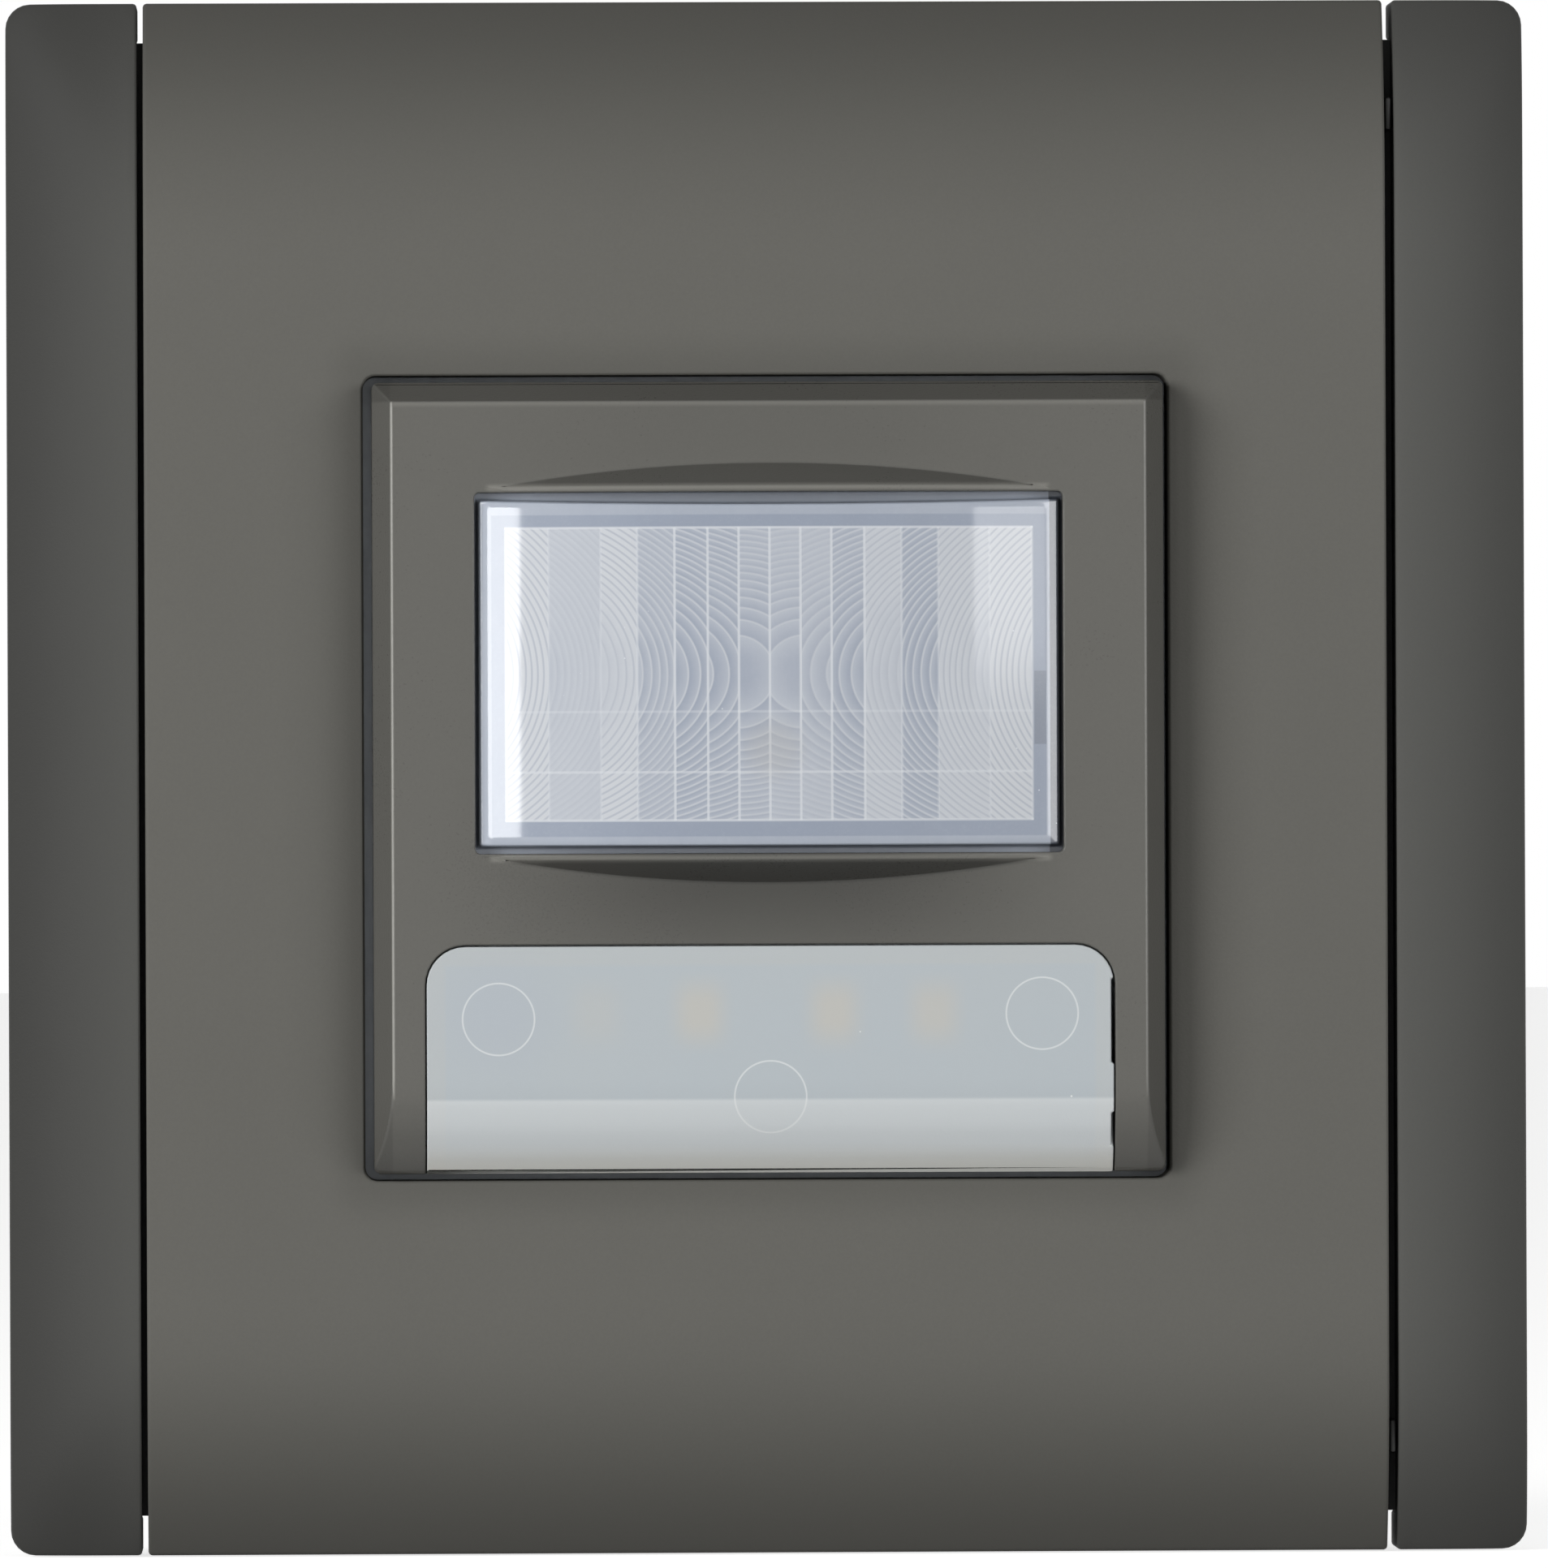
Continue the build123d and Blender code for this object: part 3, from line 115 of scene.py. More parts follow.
class CoverSizes(bpy.types.PropertyGroup):
    """Sizes of the front cover with its lens and window."""

    size: length("Cover size", 45.0, "Width and height of the cover")
    corner_radius: length("Corner radius", 0.4, "Radius of the cover's corners")
    front: length("Cover front", 12.6, "Height of the cover's face above the wall")
    back: length("Cover back", 1.6, "Height of the cover's rim above the wall")
    wall: length("Cover wall", 1.5, "Thickness of the cover")
    side_width: length("Side chamfer width", 1.07, "Width of the side chamfers")
    side_depth: length("Side chamfer depth", 2.0, "Depth of the side chamfers")
    top_width: length("Top chamfer width", 1.15, "Width of the top chamfer")
    top_depth: length("Top chamfer depth", 2.0, "Depth of the top chamfer")
    fall_length: length("Fall length", 5.4, "Length over which the lower end falls back")
    fall_drop: length("Fall drop", 2.5, "How far the lower end falls back")
    edge_radius: length("Edge radius", 0.14, "Rounding of the cover's edges")
    lens_width: length("Lens width", 33.0, "Width of the lens")
    lens_height: length("Lens height", 19.65, "Height of the lens")
    lens_middle: place("Lens middle", 5.94, "Height of the lens's middle over the module's middle")
    lens_gap: length("Lens side gap", 0.2, "Gap beside the lens")
    lens_end_gap: length("Lens end gap", 0.42, "Gap above and below the lens")
    lens_bulge: length("Lens bulge", 2.4, "How far the lens bulges")
    lens_setback: length("Lens setback", 0.2, "How far the lens's ends lie under the cover's face")
    lens_wall: length("Lens wall", 0.9, "Thickness of the lens")
    lens_top_bow: length("Lens top bow", 0.25, "How far the lens's upper edge sinks in its middle")
    lens_rim: length("Lens rim", 0.6, "Width of the lowered rim round the lens")
    lens_rim_drop: length("Lens rim drop", 0.25, "How far that rim slopes back")
    lens_flange: length("Lens flange", 1.4, "Width of the flange behind the cover")
    lens_flange_thickness: length("Flange thickness", 1.0, "Thickness of that flange")
    lip_length: length("Lip length", 31.3, "Length of the raised lips by the lens")
    lip_bulge: length("Lip bulge", 2.2, "Height of the lips in their middle")
    lip_rim: length("Lip rim", 0.3, "Width of the lips' level rim")
    lip_rise: length("Lip rise", 1.4, "Width of the lips' slope in their middle")
    window_width: length("Window width", 39.0, "Width of the night light's window")
    window_top: place("Window top", -9.57, "Place of the window's upper edge")
    window_radius: length("Window radius", 2.2, "Radius of the window's upper corners")
    window_gap: length("Window gap", 0.08, "Gap round the window")
    window_ledge: length("Window ledge", 7.9, "Height of the window's hooked end above the wall")
    window_flange: length("Window flange", 1.0, "Width of the flange behind the cover")
    window_flange_thickness: length("Window flange thickness", 0.9, "Thickness of that flange")
    window_flange_end: place("Window flange end", -16.8, "Lower end of that flange")


class Colours(bpy.types.PropertyGroup):
    """Colours of the finishes."""

    warm_grey: colour("Warm grey", (111, 110, 105), "Centre panel and front cover")
    cool_grey: colour("Cool grey", (102, 102, 99), "Side strips")
    dark_plastic: colour("Dark plastic", (38, 38, 37), "Base and the frame behind the lens")
    lens_clear: colour("Lens", (192, 199, 210), "Smooth parts of the lens")
    lens_shade: colour("Lens shade", (152, 162, 182), "The deep side of the lens's grooves")
    lens_haze: colour("Lens haze", (216, 220, 226), "Where the lens's grooves lie close together")
    lens_line: colour("Lens lines", (228, 232, 238), "Edges of the lens's panes, and dust")
    lens_rim: colour("Lens rim", (152, 162, 180), "The smooth border of the lens")
    warm_patch: colour("Warm patch", (186, 184, 180), "The sensor seen through the lens")
    frosted: colour("Frosted window", (196, 205, 211), "The middle of the night light's window")
    frosted_edge: colour("Frosted edge", (203, 207, 207), "The window's border")
    # The frosted slope colour is a painted reflection below the window's bend; the circle lines and specks
    # use it too
    frosted_low: colour("Frosted slope", (252, 255, 255), "The window below its bend")
    frosted_end: colour("Frosted end", (236, 231, 216), "The window's lower end")
    lamp_glow: colour("Lamp glow", (214, 208, 196), "The lamps seen through the window")
    steel: colour("Zinc-plated steel", (176, 180, 184), "Ring, claws and screws")
    brass: colour("Brass", (196, 160, 92), "Clamping plates and contacts")
    copper: colour("Copper wire", (190, 104, 58), "Windings")
    housing: colour("Housing", (206, 206, 200), "The housing in the wall box")
    white: colour("White plastic", (230, 230, 226), "Light tray and coil former")
    board: colour("Circuit board", (34, 92, 56), "Both boards")
    black: colour("Black moulding", (30, 30, 31), "Chips, header and relay floor")
    relay: colour("Relay", (42, 74, 132), "The relay's case")
    capacitor: colour("Capacitor", (208, 168, 50), "The boxed capacitor")
    can: colour("Capacitor can", (190, 192, 196), "The round capacitor")
    resistor: colour("Resistor", (112, 134, 148), "The resistor's lacquer")
    lamp: colour("Clear lamp", (236, 230, 206), "Lamps and light sensor")
    ceramic: colour("Sensing ceramic", (120, 108, 100), "The two sensing elements")
    adjuster: colour("Adjuster", (226, 222, 206), "The adjusters' rotors")
    floor: colour("Floor", (236, 236, 234), "The floor that the switch stands over")


# Finishes, written as sums of shader sockets

SPECK_SHARE = 0.8


class Value:
    """A shader socket that can be used in sums, so that a pattern reads like a formula."""

    def __init__(self, nodes, socket):
        self.nodes = nodes
        self.socket = socket

    def math(self, operation, *others):
        return self.nodes.node("ShaderNodeMath", {"operation": operation}, self, *others)

    def __add__(self, other):
        return self.math("ADD", other)

    def __mul__(self, other):
        return self.math("MULTIPLY", other)

    def __sub__(self, other):
        return self.math("SUBTRACT", other)

    def __rsub__(self, other):
        return self.nodes.node("ShaderNodeMath", {"operation": "SUBTRACT"}, other, self)

    def __truediv__(self, other):
        return self.math("DIVIDE", other)

    def __rtruediv__(self, other):
        return self.nodes.node("ShaderNodeMath", {"operation": "DIVIDE"}, other, self)

    def __neg__(self):
        return self * -1

    def __abs__(self):
        return self.math("ABSOLUTE")

    def __gt__(self, other):
        return self.math("GREATER_THAN", other)

    def __lt__(self, other):
        return self.math("LESS_THAN", other)

    __radd__ = __add__
    __rmul__ = __mul__

    def ease(self, low, high):
        """0 up to low and 1 from high, with a soft step between them."""
        settings = {"interpolation_type": "SMOOTHSTEP"}
        return self.nodes.node("ShaderNodeMapRange", settings, self, low, high, 0.0, 1.0)

    def fraction(self):
        return self.math("FRACT")

    def root(self):
        return self.math("SQRT")


class Nodes:
    """A node tree that grows node by node."""

    def __init__(self, tree):
        self.tree = tree

    def node(self, kind, settings, *values, out=0):
        """Adds one node; values fill its inputs in order, or by number or name where a dict is given."""
        node = self.tree.nodes.new(kind)
        for name, setting in settings.items():
            setattr(node, name, setting)
        filled = values[0] if len(values) == 1 and isinstance(values[0], dict) else dict(enumerate(values))
        for key, value in filled.items():
            self.fill(node.inputs[key], value)
        return Value(self, node.outputs[out])

    def fill(self, target, value):
        if isinstance(value, Value):
            self.tree.links.new(value.socket, target)
        else:
            target.default_value = value


class Finish(Nodes):
    """One material and the nodes of its pattern."""

    def __init__(self, name):
        self.material = bpy.data.materials.new(name)
        self.material.use_nodes = True
        super().__init__(self.material.node_tree)
        self.surface = self.tree.nodes["Principled BSDF"]
        self.points = self.node("ShaderNodeTexCoord", {}, out=3)

    def across(self):
        """The three places of a point, as values in metres."""
        parts = self.node("ShaderNodeSeparateXYZ", {}, self.points).socket.node
        return [Value(self, output) for output in parts.outputs]

    def noise(self, size, detail=2.0, roughness=0.5):
        """A cloudy pattern whose spots are about as wide as the size."""
        return self.node("ShaderNodeTexNoise", {}, {0: self.points, 2: 1 / size, 3: detail, 4: roughness})

    def specks(self, spacing, size):
        """SPECK_SHARE in a few small round spots, such as dust or moulding flaws."""
        distance = self.node("ShaderNodeTexVoronoi", {}, {0: self.points, 2: 1 / spacing})
        return (distance < size / spacing) * SPECK_SHARE

    def blend(self, share, first, second):
        """A colour between two others."""
        first, second = [full(shade) for shade in (first, second)]
        return self.node("ShaderNodeMix", {"data_type": "RGBA"}, {0: share, 6: first, 7: second}, out=2)

    def bump(self, height, depth, strength=1.0):
        """Raises the surface by the height times the depth."""
        return self.node("ShaderNodeBump", {}, {"Strength": strength, "Distance": depth, "Height": height})

    def set(self, **inputs):
        """Fills the surface's own inputs, named with _ for each space."""
        for name, value in inputs.items():
            self.fill(self.surface.inputs[name.replace("_", " ")], full(value))
        return self.material


def full(shade):
    """A colour with its fourth part, or any other value as it is."""
    if isinstance(shade, (Value, float, int)):
        return shade
    shade = tuple(shade)
    return shade + (1.0,) if len(shade) == 3 else shade


def scaled(shade, factor):
    return tuple(part * factor for part in shade)


def hypotenuse(first, second):
    """How far a point lies from another that is this far away along two directions."""
    return (first * first + second * second).root()


def run_at(place, run, unit=1):
    """The two limits of a soft step that are counted from a place, in the unit."""
    return [place + limit * unit for limit in run]


def band(value, start, end):
    """1 between two soft steps, each given by its two limits."""
    return value.ease(*start) * (1 - value.ease(*end))


def overlaid(shares):
    """The share that several tones laid over each other have together."""
    rest = 1.0
    for share in shares:
        rest = (1 - share) * rest
    return 1 - rest


def line_at(value, middle, width):
    """1 along a thin line where the value equals the middle, fading out over the width."""
    return 1 - abs(value - middle).ease(width * 0.35, width)


# Grain, painted shade and painted highlights of the moulded pieces, lengths in metres and the rest as shares

GRAIN_SIZE = 0.16 * MM
GRAIN_DEPTH = 0.012 * MM
MOTTLE_SIZE = 9 * MM
MOTTLE = 0.05
PLATE_GLOSS = 0.15
COVER_GLOSS = 0.36
COVER_LIGHT = 0.93
# Colours that the painted shade and the painted highlights blend towards, as factors of the plastic's colour
PAINTED_SHADE_TONE = 0.35
PAINTED_HIGHLIGHT_TONE = 2.2
# Painted shade towards the strips' outer edges, stronger on the left strip, and at the plate's rolled ends,
# and a painted shadow beside the cover
STRIP_PAINTED_SHADES = {-1: 0.9, 1: 0.42}
STRIP_PAINTED_SHADE_RUN = (-0.5, 0.9)
END_PAINTED_SHADE = 0.76
END_PAINTED_SHADE_RUN = (-4 * MM, 2 * MM)
OPENING_PAINTED_SHADOW = 0.25
OPENING_PAINTED_SHADOW_RUN = (0, 3 * MM)
# Painted shade on the cover's chamfers, lip slopes, lower end and middle, and a painted shadow under its
# lower lip
SIDE_CHAMFER_PAINTED_SHADE = 0.32
TOP_CHAMFER_PAINTED_SHADE = 0.5
CHAMFER_RUN = (-0.05 * MM, 0.1 * MM)
RAISED_RUN = (0.03 * MM, 0.12 * MM)
LOW_SLOPE_PAINTED_SHADE = 0.45
HIGH_SLOPE_PAINTED_SHADE = 0.5
SLOPE_RUN = 0.1 * MM
FALL_PAINTED_SHADE = 0.35
MIDDLE_PAINTED_SHADE = 0.2
MIDDLE_RUN = (0.1, 0.95)
UNDER_LIP_PAINTED_SHADOW = 0.8
UNDER_LIP_SHADOW_RUNS = ((0.1, 0.85), (-0.52, -0.24))
# Painted highlights along the cover's front edges, stronger on the left, and on the lips' rims
FRONT_RUN = (-0.12 * MM, -0.06 * MM)
RIGHT_EDGE_PAINTED_HIGHLIGHT = 0.25
LEFT_EDGE_PAINTED_HIGHLIGHT_EXTRA = 0.6
SIDE_EDGE_RUNS = ((-0.16 * MM, -0.04 * MM), (0, 0.1 * MM))
TOP_EDGE_PAINTED_HIGHLIGHT = 0.3
TOP_EDGE_RUNS = ((-0.35 * MM, -0.1 * MM), (-0.05 * MM, 0.05 * MM))
RIM_PAINTED_HIGHLIGHT = 0.55
RIM_END_RUN = (0.7, 0.72)


def moulded_plastic(name, shade, roughness=0.5, gloss=0.4, painted_shade_at=None, painted_highlight_at=None):
    """Moulded plastic with a fine grain; two functions may give the shares of painted shade and of painted
    highlights.
    """
    finish = Finish(name)
    fine = finish.noise(GRAIN_SIZE, detail=3.0, roughness=0.6)
    broad = finish.noise(MOTTLE_SIZE)
    mottled = (fine - 0.5) * 1.2 + broad * 0.6 + 0.2
    tone = finish.blend(mottled, scaled(shade, 1 - MOTTLE), scaled(shade, 1 + MOTTLE))
    # Painted shade, then painted highlights, laid over the grain's tone
    if painted_shade_at:
        tone = finish.blend(painted_shade_at(*finish.across()), tone, scaled(shade, PAINTED_SHADE_TONE))
    if painted_highlight_at:
        tone = finish.blend(painted_highlight_at(*finish.across()), tone, scaled(shade, PAINTED_HIGHLIGHT_TONE))
    rough = (broad - 0.5) * 0.08 + (fine - 0.5) * 0.12 + roughness
    normal = finish.bump(fine, GRAIN_DEPTH)
    return finish.set(Base_Color=tone, Roughness=rough, Normal=normal, Specular_IOR_Level=gloss)


def plate_plastic_painted_shade(name, shade, sizes, outward):
    """The plate's plastic with painted shade at its rolled ends and towards a strip's outer edge, and a
    painted shadow beside the cover.
    """
    half_height = sizes.height / 2
    before_roll, past_edge = END_PAINTED_SHADE_RUN

    def painted_shade_at(across, depth, up):
        # Painted shade at the rolled ends and towards a strip's outer side
        ends = abs(up).ease(half_height - sizes.roll_length + before_roll, half_height + past_edge)
        reach = (abs(across) - sizes.strip_inner).math("MAXIMUM", 0) / (sizes.width / 2 - sizes.strip_inner)
        # A painted shadow of the cover on the plate round the opening
        beyond = [(abs(axis) - sizes.opening / 2).math("MAXIMUM", 0) for axis in (across, up)]
        beside = 1 - hypotenuse(*beyond).ease(*OPENING_PAINTED_SHADOW_RUN)
        return overlaid((ends * END_PAINTED_SHADE, reach.ease(*STRIP_PAINTED_SHADE_RUN) * outward, beside * OPENING_PAINTED_SHADOW))

    return moulded_plastic(name, shade, gloss=PLATE_GLOSS, roughness=0.6, painted_shade_at=painted_shade_at)


def cover_plastic_painted_light(sizes, colours):
    """The cover's plastic with painted light: painted shade on chamfers, lip slopes, the lower end and the
    face's middle, a painted shadow under the lower lip, and painted highlights on the front's edges and the
    lips' rims.
    """
    half = sizes.size / 2
    side, top = half - sizes.side_width, half - sizes.top_width
    low_lip, high_lip = lens_limits(sizes, 0, sizes.lens_end_gap + sizes.lip_rim)[1]

    def painted_shade_at(across, depth, up):
        # Painted shade on chamfers, lip slopes, the lower end and the face's middle, and a painted shadow
        # under the lower lip
        reach = abs(across)
        raised = (-depth).ease(*run_at(sizes.front, RAISED_RUN))
        # A painted shadow under the lower lip
        across_run, up_run = [run_at(0, run, half) for run in UNDER_LIP_SHADOW_RUNS]
        painted_lip_shadow = (1 - reach.ease(*across_run)) * up.ease(*up_run) * (up < 0)
        return overlaid((
            reach.ease(*run_at(side, CHAMFER_RUN)) * SIDE_CHAMFER_PAINTED_SHADE,
            up.ease(*run_at(top, CHAMFER_RUN)) * TOP_CHAMFER_PAINTED_SHADE,
            raised * up.ease(high_lip, high_lip + SLOPE_RUN) * HIGH_SLOPE_PAINTED_SHADE,
            raised * (1 - up.ease(low_lip - SLOPE_RUN, low_lip)) * LOW_SLOPE_PAINTED_SHADE,
            (1 - up.ease(-half, sizes.fall_length - half)) * FALL_PAINTED_SHADE,
            (1 - reach.ease(*run_at(0, MIDDLE_RUN, half))) * MIDDLE_PAINTED_SHADE,
            painted_lip_shadow * UNDER_LIP_PAINTED_SHADOW,
        ))

    def painted_highlight_at(across, depth, up):
        # Painted highlights on the front's edges, stronger on the left, and on the lips' rims
        reach = abs(across)
        on_front = (-depth).ease(*run_at(sizes.front, FRONT_RUN))
        side_edge = band(reach, *[run_at(side, run) for run in SIDE_EDGE_RUNS])
        top_edge = band(up, *[run_at(top, run) for run in TOP_EDGE_RUNS])
        side_painted_highlight = (across < 0) * LEFT_EDGE_PAINTED_HIGHLIGHT_EXTRA + RIGHT_EDGE_PAINTED_HIGHLIGHT
        edges = (side_edge * side_painted_highlight).math("MAXIMUM", top_edge * TOP_EDGE_PAINTED_HIGHLIGHT)
        beyond_rims = [abs(up - end).ease(0, sizes.lip_rim) for end in (low_lip, high_lip)]
        rim = (1 - beyond_rims[0] * beyond_rims[1]) * (1 - reach.ease(*run_at(0, RIM_END_RUN, half)))
        return on_front * edges + rim * RIM_PAINTED_HIGHLIGHT * on_front

    shade = scaled(colours.warm_grey, COVER_LIGHT)
    tones = {"painted_shade_at": painted_shade_at, "painted_highlight_at": painted_highlight_at}
    return moulded_plastic("cover_grey", shade, gloss=COVER_GLOSS, roughness=0.3, **tones)


# Finishes of the hidden pieces

def plated_steel(name, shade):
    """Zinc-plated sheet with rolling marks and dull patches."""
    finish = Finish(name)
    patches = finish.noise(3.5 * MM, detail=4.0, roughness=0.6)
    grain = finish.noise(0.25 * MM, detail=3.0)
    tone = finish.blend(patches.ease(0.35, 0.65), scaled(shade, 0.82), shade)
    rough = patches * 0.2 + grain * 0.12 + 0.2
    return finish.set(Base_Color=tone, Metallic=1.0, Roughness=rough, Normal=finish.bump(grain, 0.006 * MM))


def bare_metal(name, shade):
    """Bright metal with a faint tarnish."""
    finish = Finish(name)
    tarnish = finish.noise(2 * MM, detail=4.0)
    normal = finish.bump(finish.noise(0.15 * MM), 0.004 * MM)
    tone = finish.blend(tarnish.ease(0.4, 0.75), shade, scaled(shade, 0.7))
    return finish.set(Base_Color=tone, Metallic=1.0, Roughness=tarnish * 0.2 + 0.25, Normal=normal)


def wound_wire(name, shade):
    """Lacquered wire wound round an axis that points at the viewer, with painted shade on each turn's sides.
    """
    finish = Finish(name)
    thickness = 0.35 * MM
    depth = finish.across()[1]
    round_wire = abs((depth / thickness).fraction() - 0.5) * 2
    # Painted shade: each turn darkens towards its sides and the gaps between turns
    tone = finish.blend(round_wire.ease(0.2, 1.0), shade, scaled(shade, 0.35))
    normal = finish.bump(1 - round_wire, 0.08 * MM)
    return finish.set(Base_Color=tone, Metallic=0.6, Roughness=round_wire * 0.2 + 0.25, Normal=normal)


def circuit_board(name, shade):
    """Solder mask over woven glass, with copper tracks showing as paler lines."""
    finish = Finish(name)
    across, _, up = finish.across()
    weave_size, track_spacing = 0.6 * MM, 2.2 * MM
    warp, weft = [((axis / weave_size).fraction() > 0.5) * 0.5 for axis in (across, up)]
    weave = warp + weft
    wander = finish.noise(6 * MM) * 5
    line = 1 - abs((across / track_spacing + wander).fraction() - 0.5).ease(0.1, 0.14)
    tone = finish.blend(line * 0.6 + weave * 0.08, shade, scaled(shade, 1.7))
    return finish.set(Base_Color=tone, Roughness=weave * 0.05 + 0.3, Normal=finish.bump(line, 0.03 * MM))


def clear_epoxy(name, shade):
    """Clear resin, a little cloudy."""
    finish = Finish(name)
    cloud = finish.noise(0.8 * MM, detail=3.0)
    tone = finish.blend(cloud.ease(0.3, 0.7), shade, scaled(shade, 0.8))
    return finish.set(Base_Color=tone, Roughness=cloud * 0.1 + 0.06, Transmission_Weight=0.4, IOR=1.5)


# The lens's pattern, in millimetres from the module's middle

# Of each pane its outer edge, its rings' middle, its haze left and right, and its edge line's strength
LENS_PANES = (
    (1.75, 1.90, 0.22, 0.36, 0.8),
    (3.51, 5.38, 0.08, 0.42, 0.8),
    (5.38, 7.69, 0.02, 0.12, 0.8),
    (7.49, 11.54, 0.2, 0.8, 0.45),
    (9.57, 13.44, 1.0, 0.0, 0.3),
    (12.51, 17.42, 0.6, 0.85, 0.3),
    (14.94, 20.67, 1.0, 1.0, 0.5),
)
LENS_ROWS = ((3.73, 0.35), (0.30, 0.6))
LENS_LINE = 0.1
PANE_EDGE = 0.03
PANES_SPAN = (-2.43, 14.16)
RING_HEIGHT = 5.86
LOW_RING_RISE = 1.21
FIRST_RINGS_AREA = 4.72
OUTER_RINGS_FROM = 7.28
OUTER_RING_PITCH = 0.34
RIDGE_RUN = (0.02, 0.085)
CLEAR_RIDGE_SHARE = 0.7
MILKY_RIDGE_SHARE = 0.45
HAZE_RUN = (3.8, 7.2)
HAZE_LOSS = 0.35
CLOUD_SHARE = 0.3
FINE_SHARE = 0.16
END_LINE_SHARE = 0.7
BORDER_RIM = ((15.7, 15.8), (14.85, 14.95), (-3.4, -3.3))
BORDER_RIM_SHARE = 0.5
BORDER_SLOT = (((15.0, 15.1), (15.7, 15.76)), ((1.8, 1.86), (5.96, 6.02)))
BORDER_SLOT_SHARE = 0.7
# Where the painted shade at the border's right end begins, and how dark the slot and that painted shade get
BORDER_PAINTED_SHADE_END = (15.9, 16.0)
BORDER_SHADES = (0.6, 0.3)
SENSOR_PLACE = (0.2, 1.6)
SENSOR_RUN = (0.6, 2.4)
SENSOR_SHARE = 0.3
LENS_DUST = (1.9 * MM, 0.05 * MM)
GROOVE_DEPTH = 0.02 * MM
GROOVE_STRENGTH = 0.5
LENS_COAT = {"Coat_Weight": 1.0, "Coat_Roughness": 0.05, "Coat_IOR": 1.5}


def lens_rings(reach, height, middle):
    """How far a point is through its ring, the ring's width and the distance to the rings' middle."""
    low = height < LENS_ROWS[1][0]
    radius = hypotenuse(reach - middle, height - (low * LOW_RING_RISE + RING_HEIGHT))
    first = radius * radius / FIRST_RINGS_AREA
    outer = (radius - OUTER_RINGS_FROM) / OUTER_RING_PITCH + OUTER_RINGS_FROM**2 / FIRST_RINGS_AREA
    turn = (first + (radius > OUTER_RINGS_FROM) * (outer - first)).fraction()
    return turn, (FIRST_RINGS_AREA / 2 / radius).math("MAXIMUM", OUTER_RING_PITCH), radius


def lens_border(finish, across, reach, height, cloud, colours):
    """The smooth border's tone: a clearer rim, a moulded slot and painted shade on its right end."""
    side_rim, top_rim, low_rim = BORDER_RIM
    rim = reach.ease(*side_rim).math("MAXIMUM", height.ease(*top_rim))
    rim = rim.math("MAXIMUM", 1 - height.ease(*low_rim))
    slot = band(across, *BORDER_SLOT[0]) * band(height, *BORDER_SLOT[1])
    clearer = rim * BORDER_RIM_SHARE + (cloud - 0.5) * CLOUD_SHARE
    slot_shade, painted_end_shade = [scaled(colours.lens_rim, shade) for shade in BORDER_SHADES]
    border = finish.blend(clearer, colours.lens_rim, colours.lens_clear)
    border = finish.blend(slot * BORDER_SLOT_SHARE, border, slot_shade)
    # Painted shade darkens the border's right end
    return finish.blend(across.ease(*BORDER_PAINTED_SHADE_END), border, painted_end_shade)


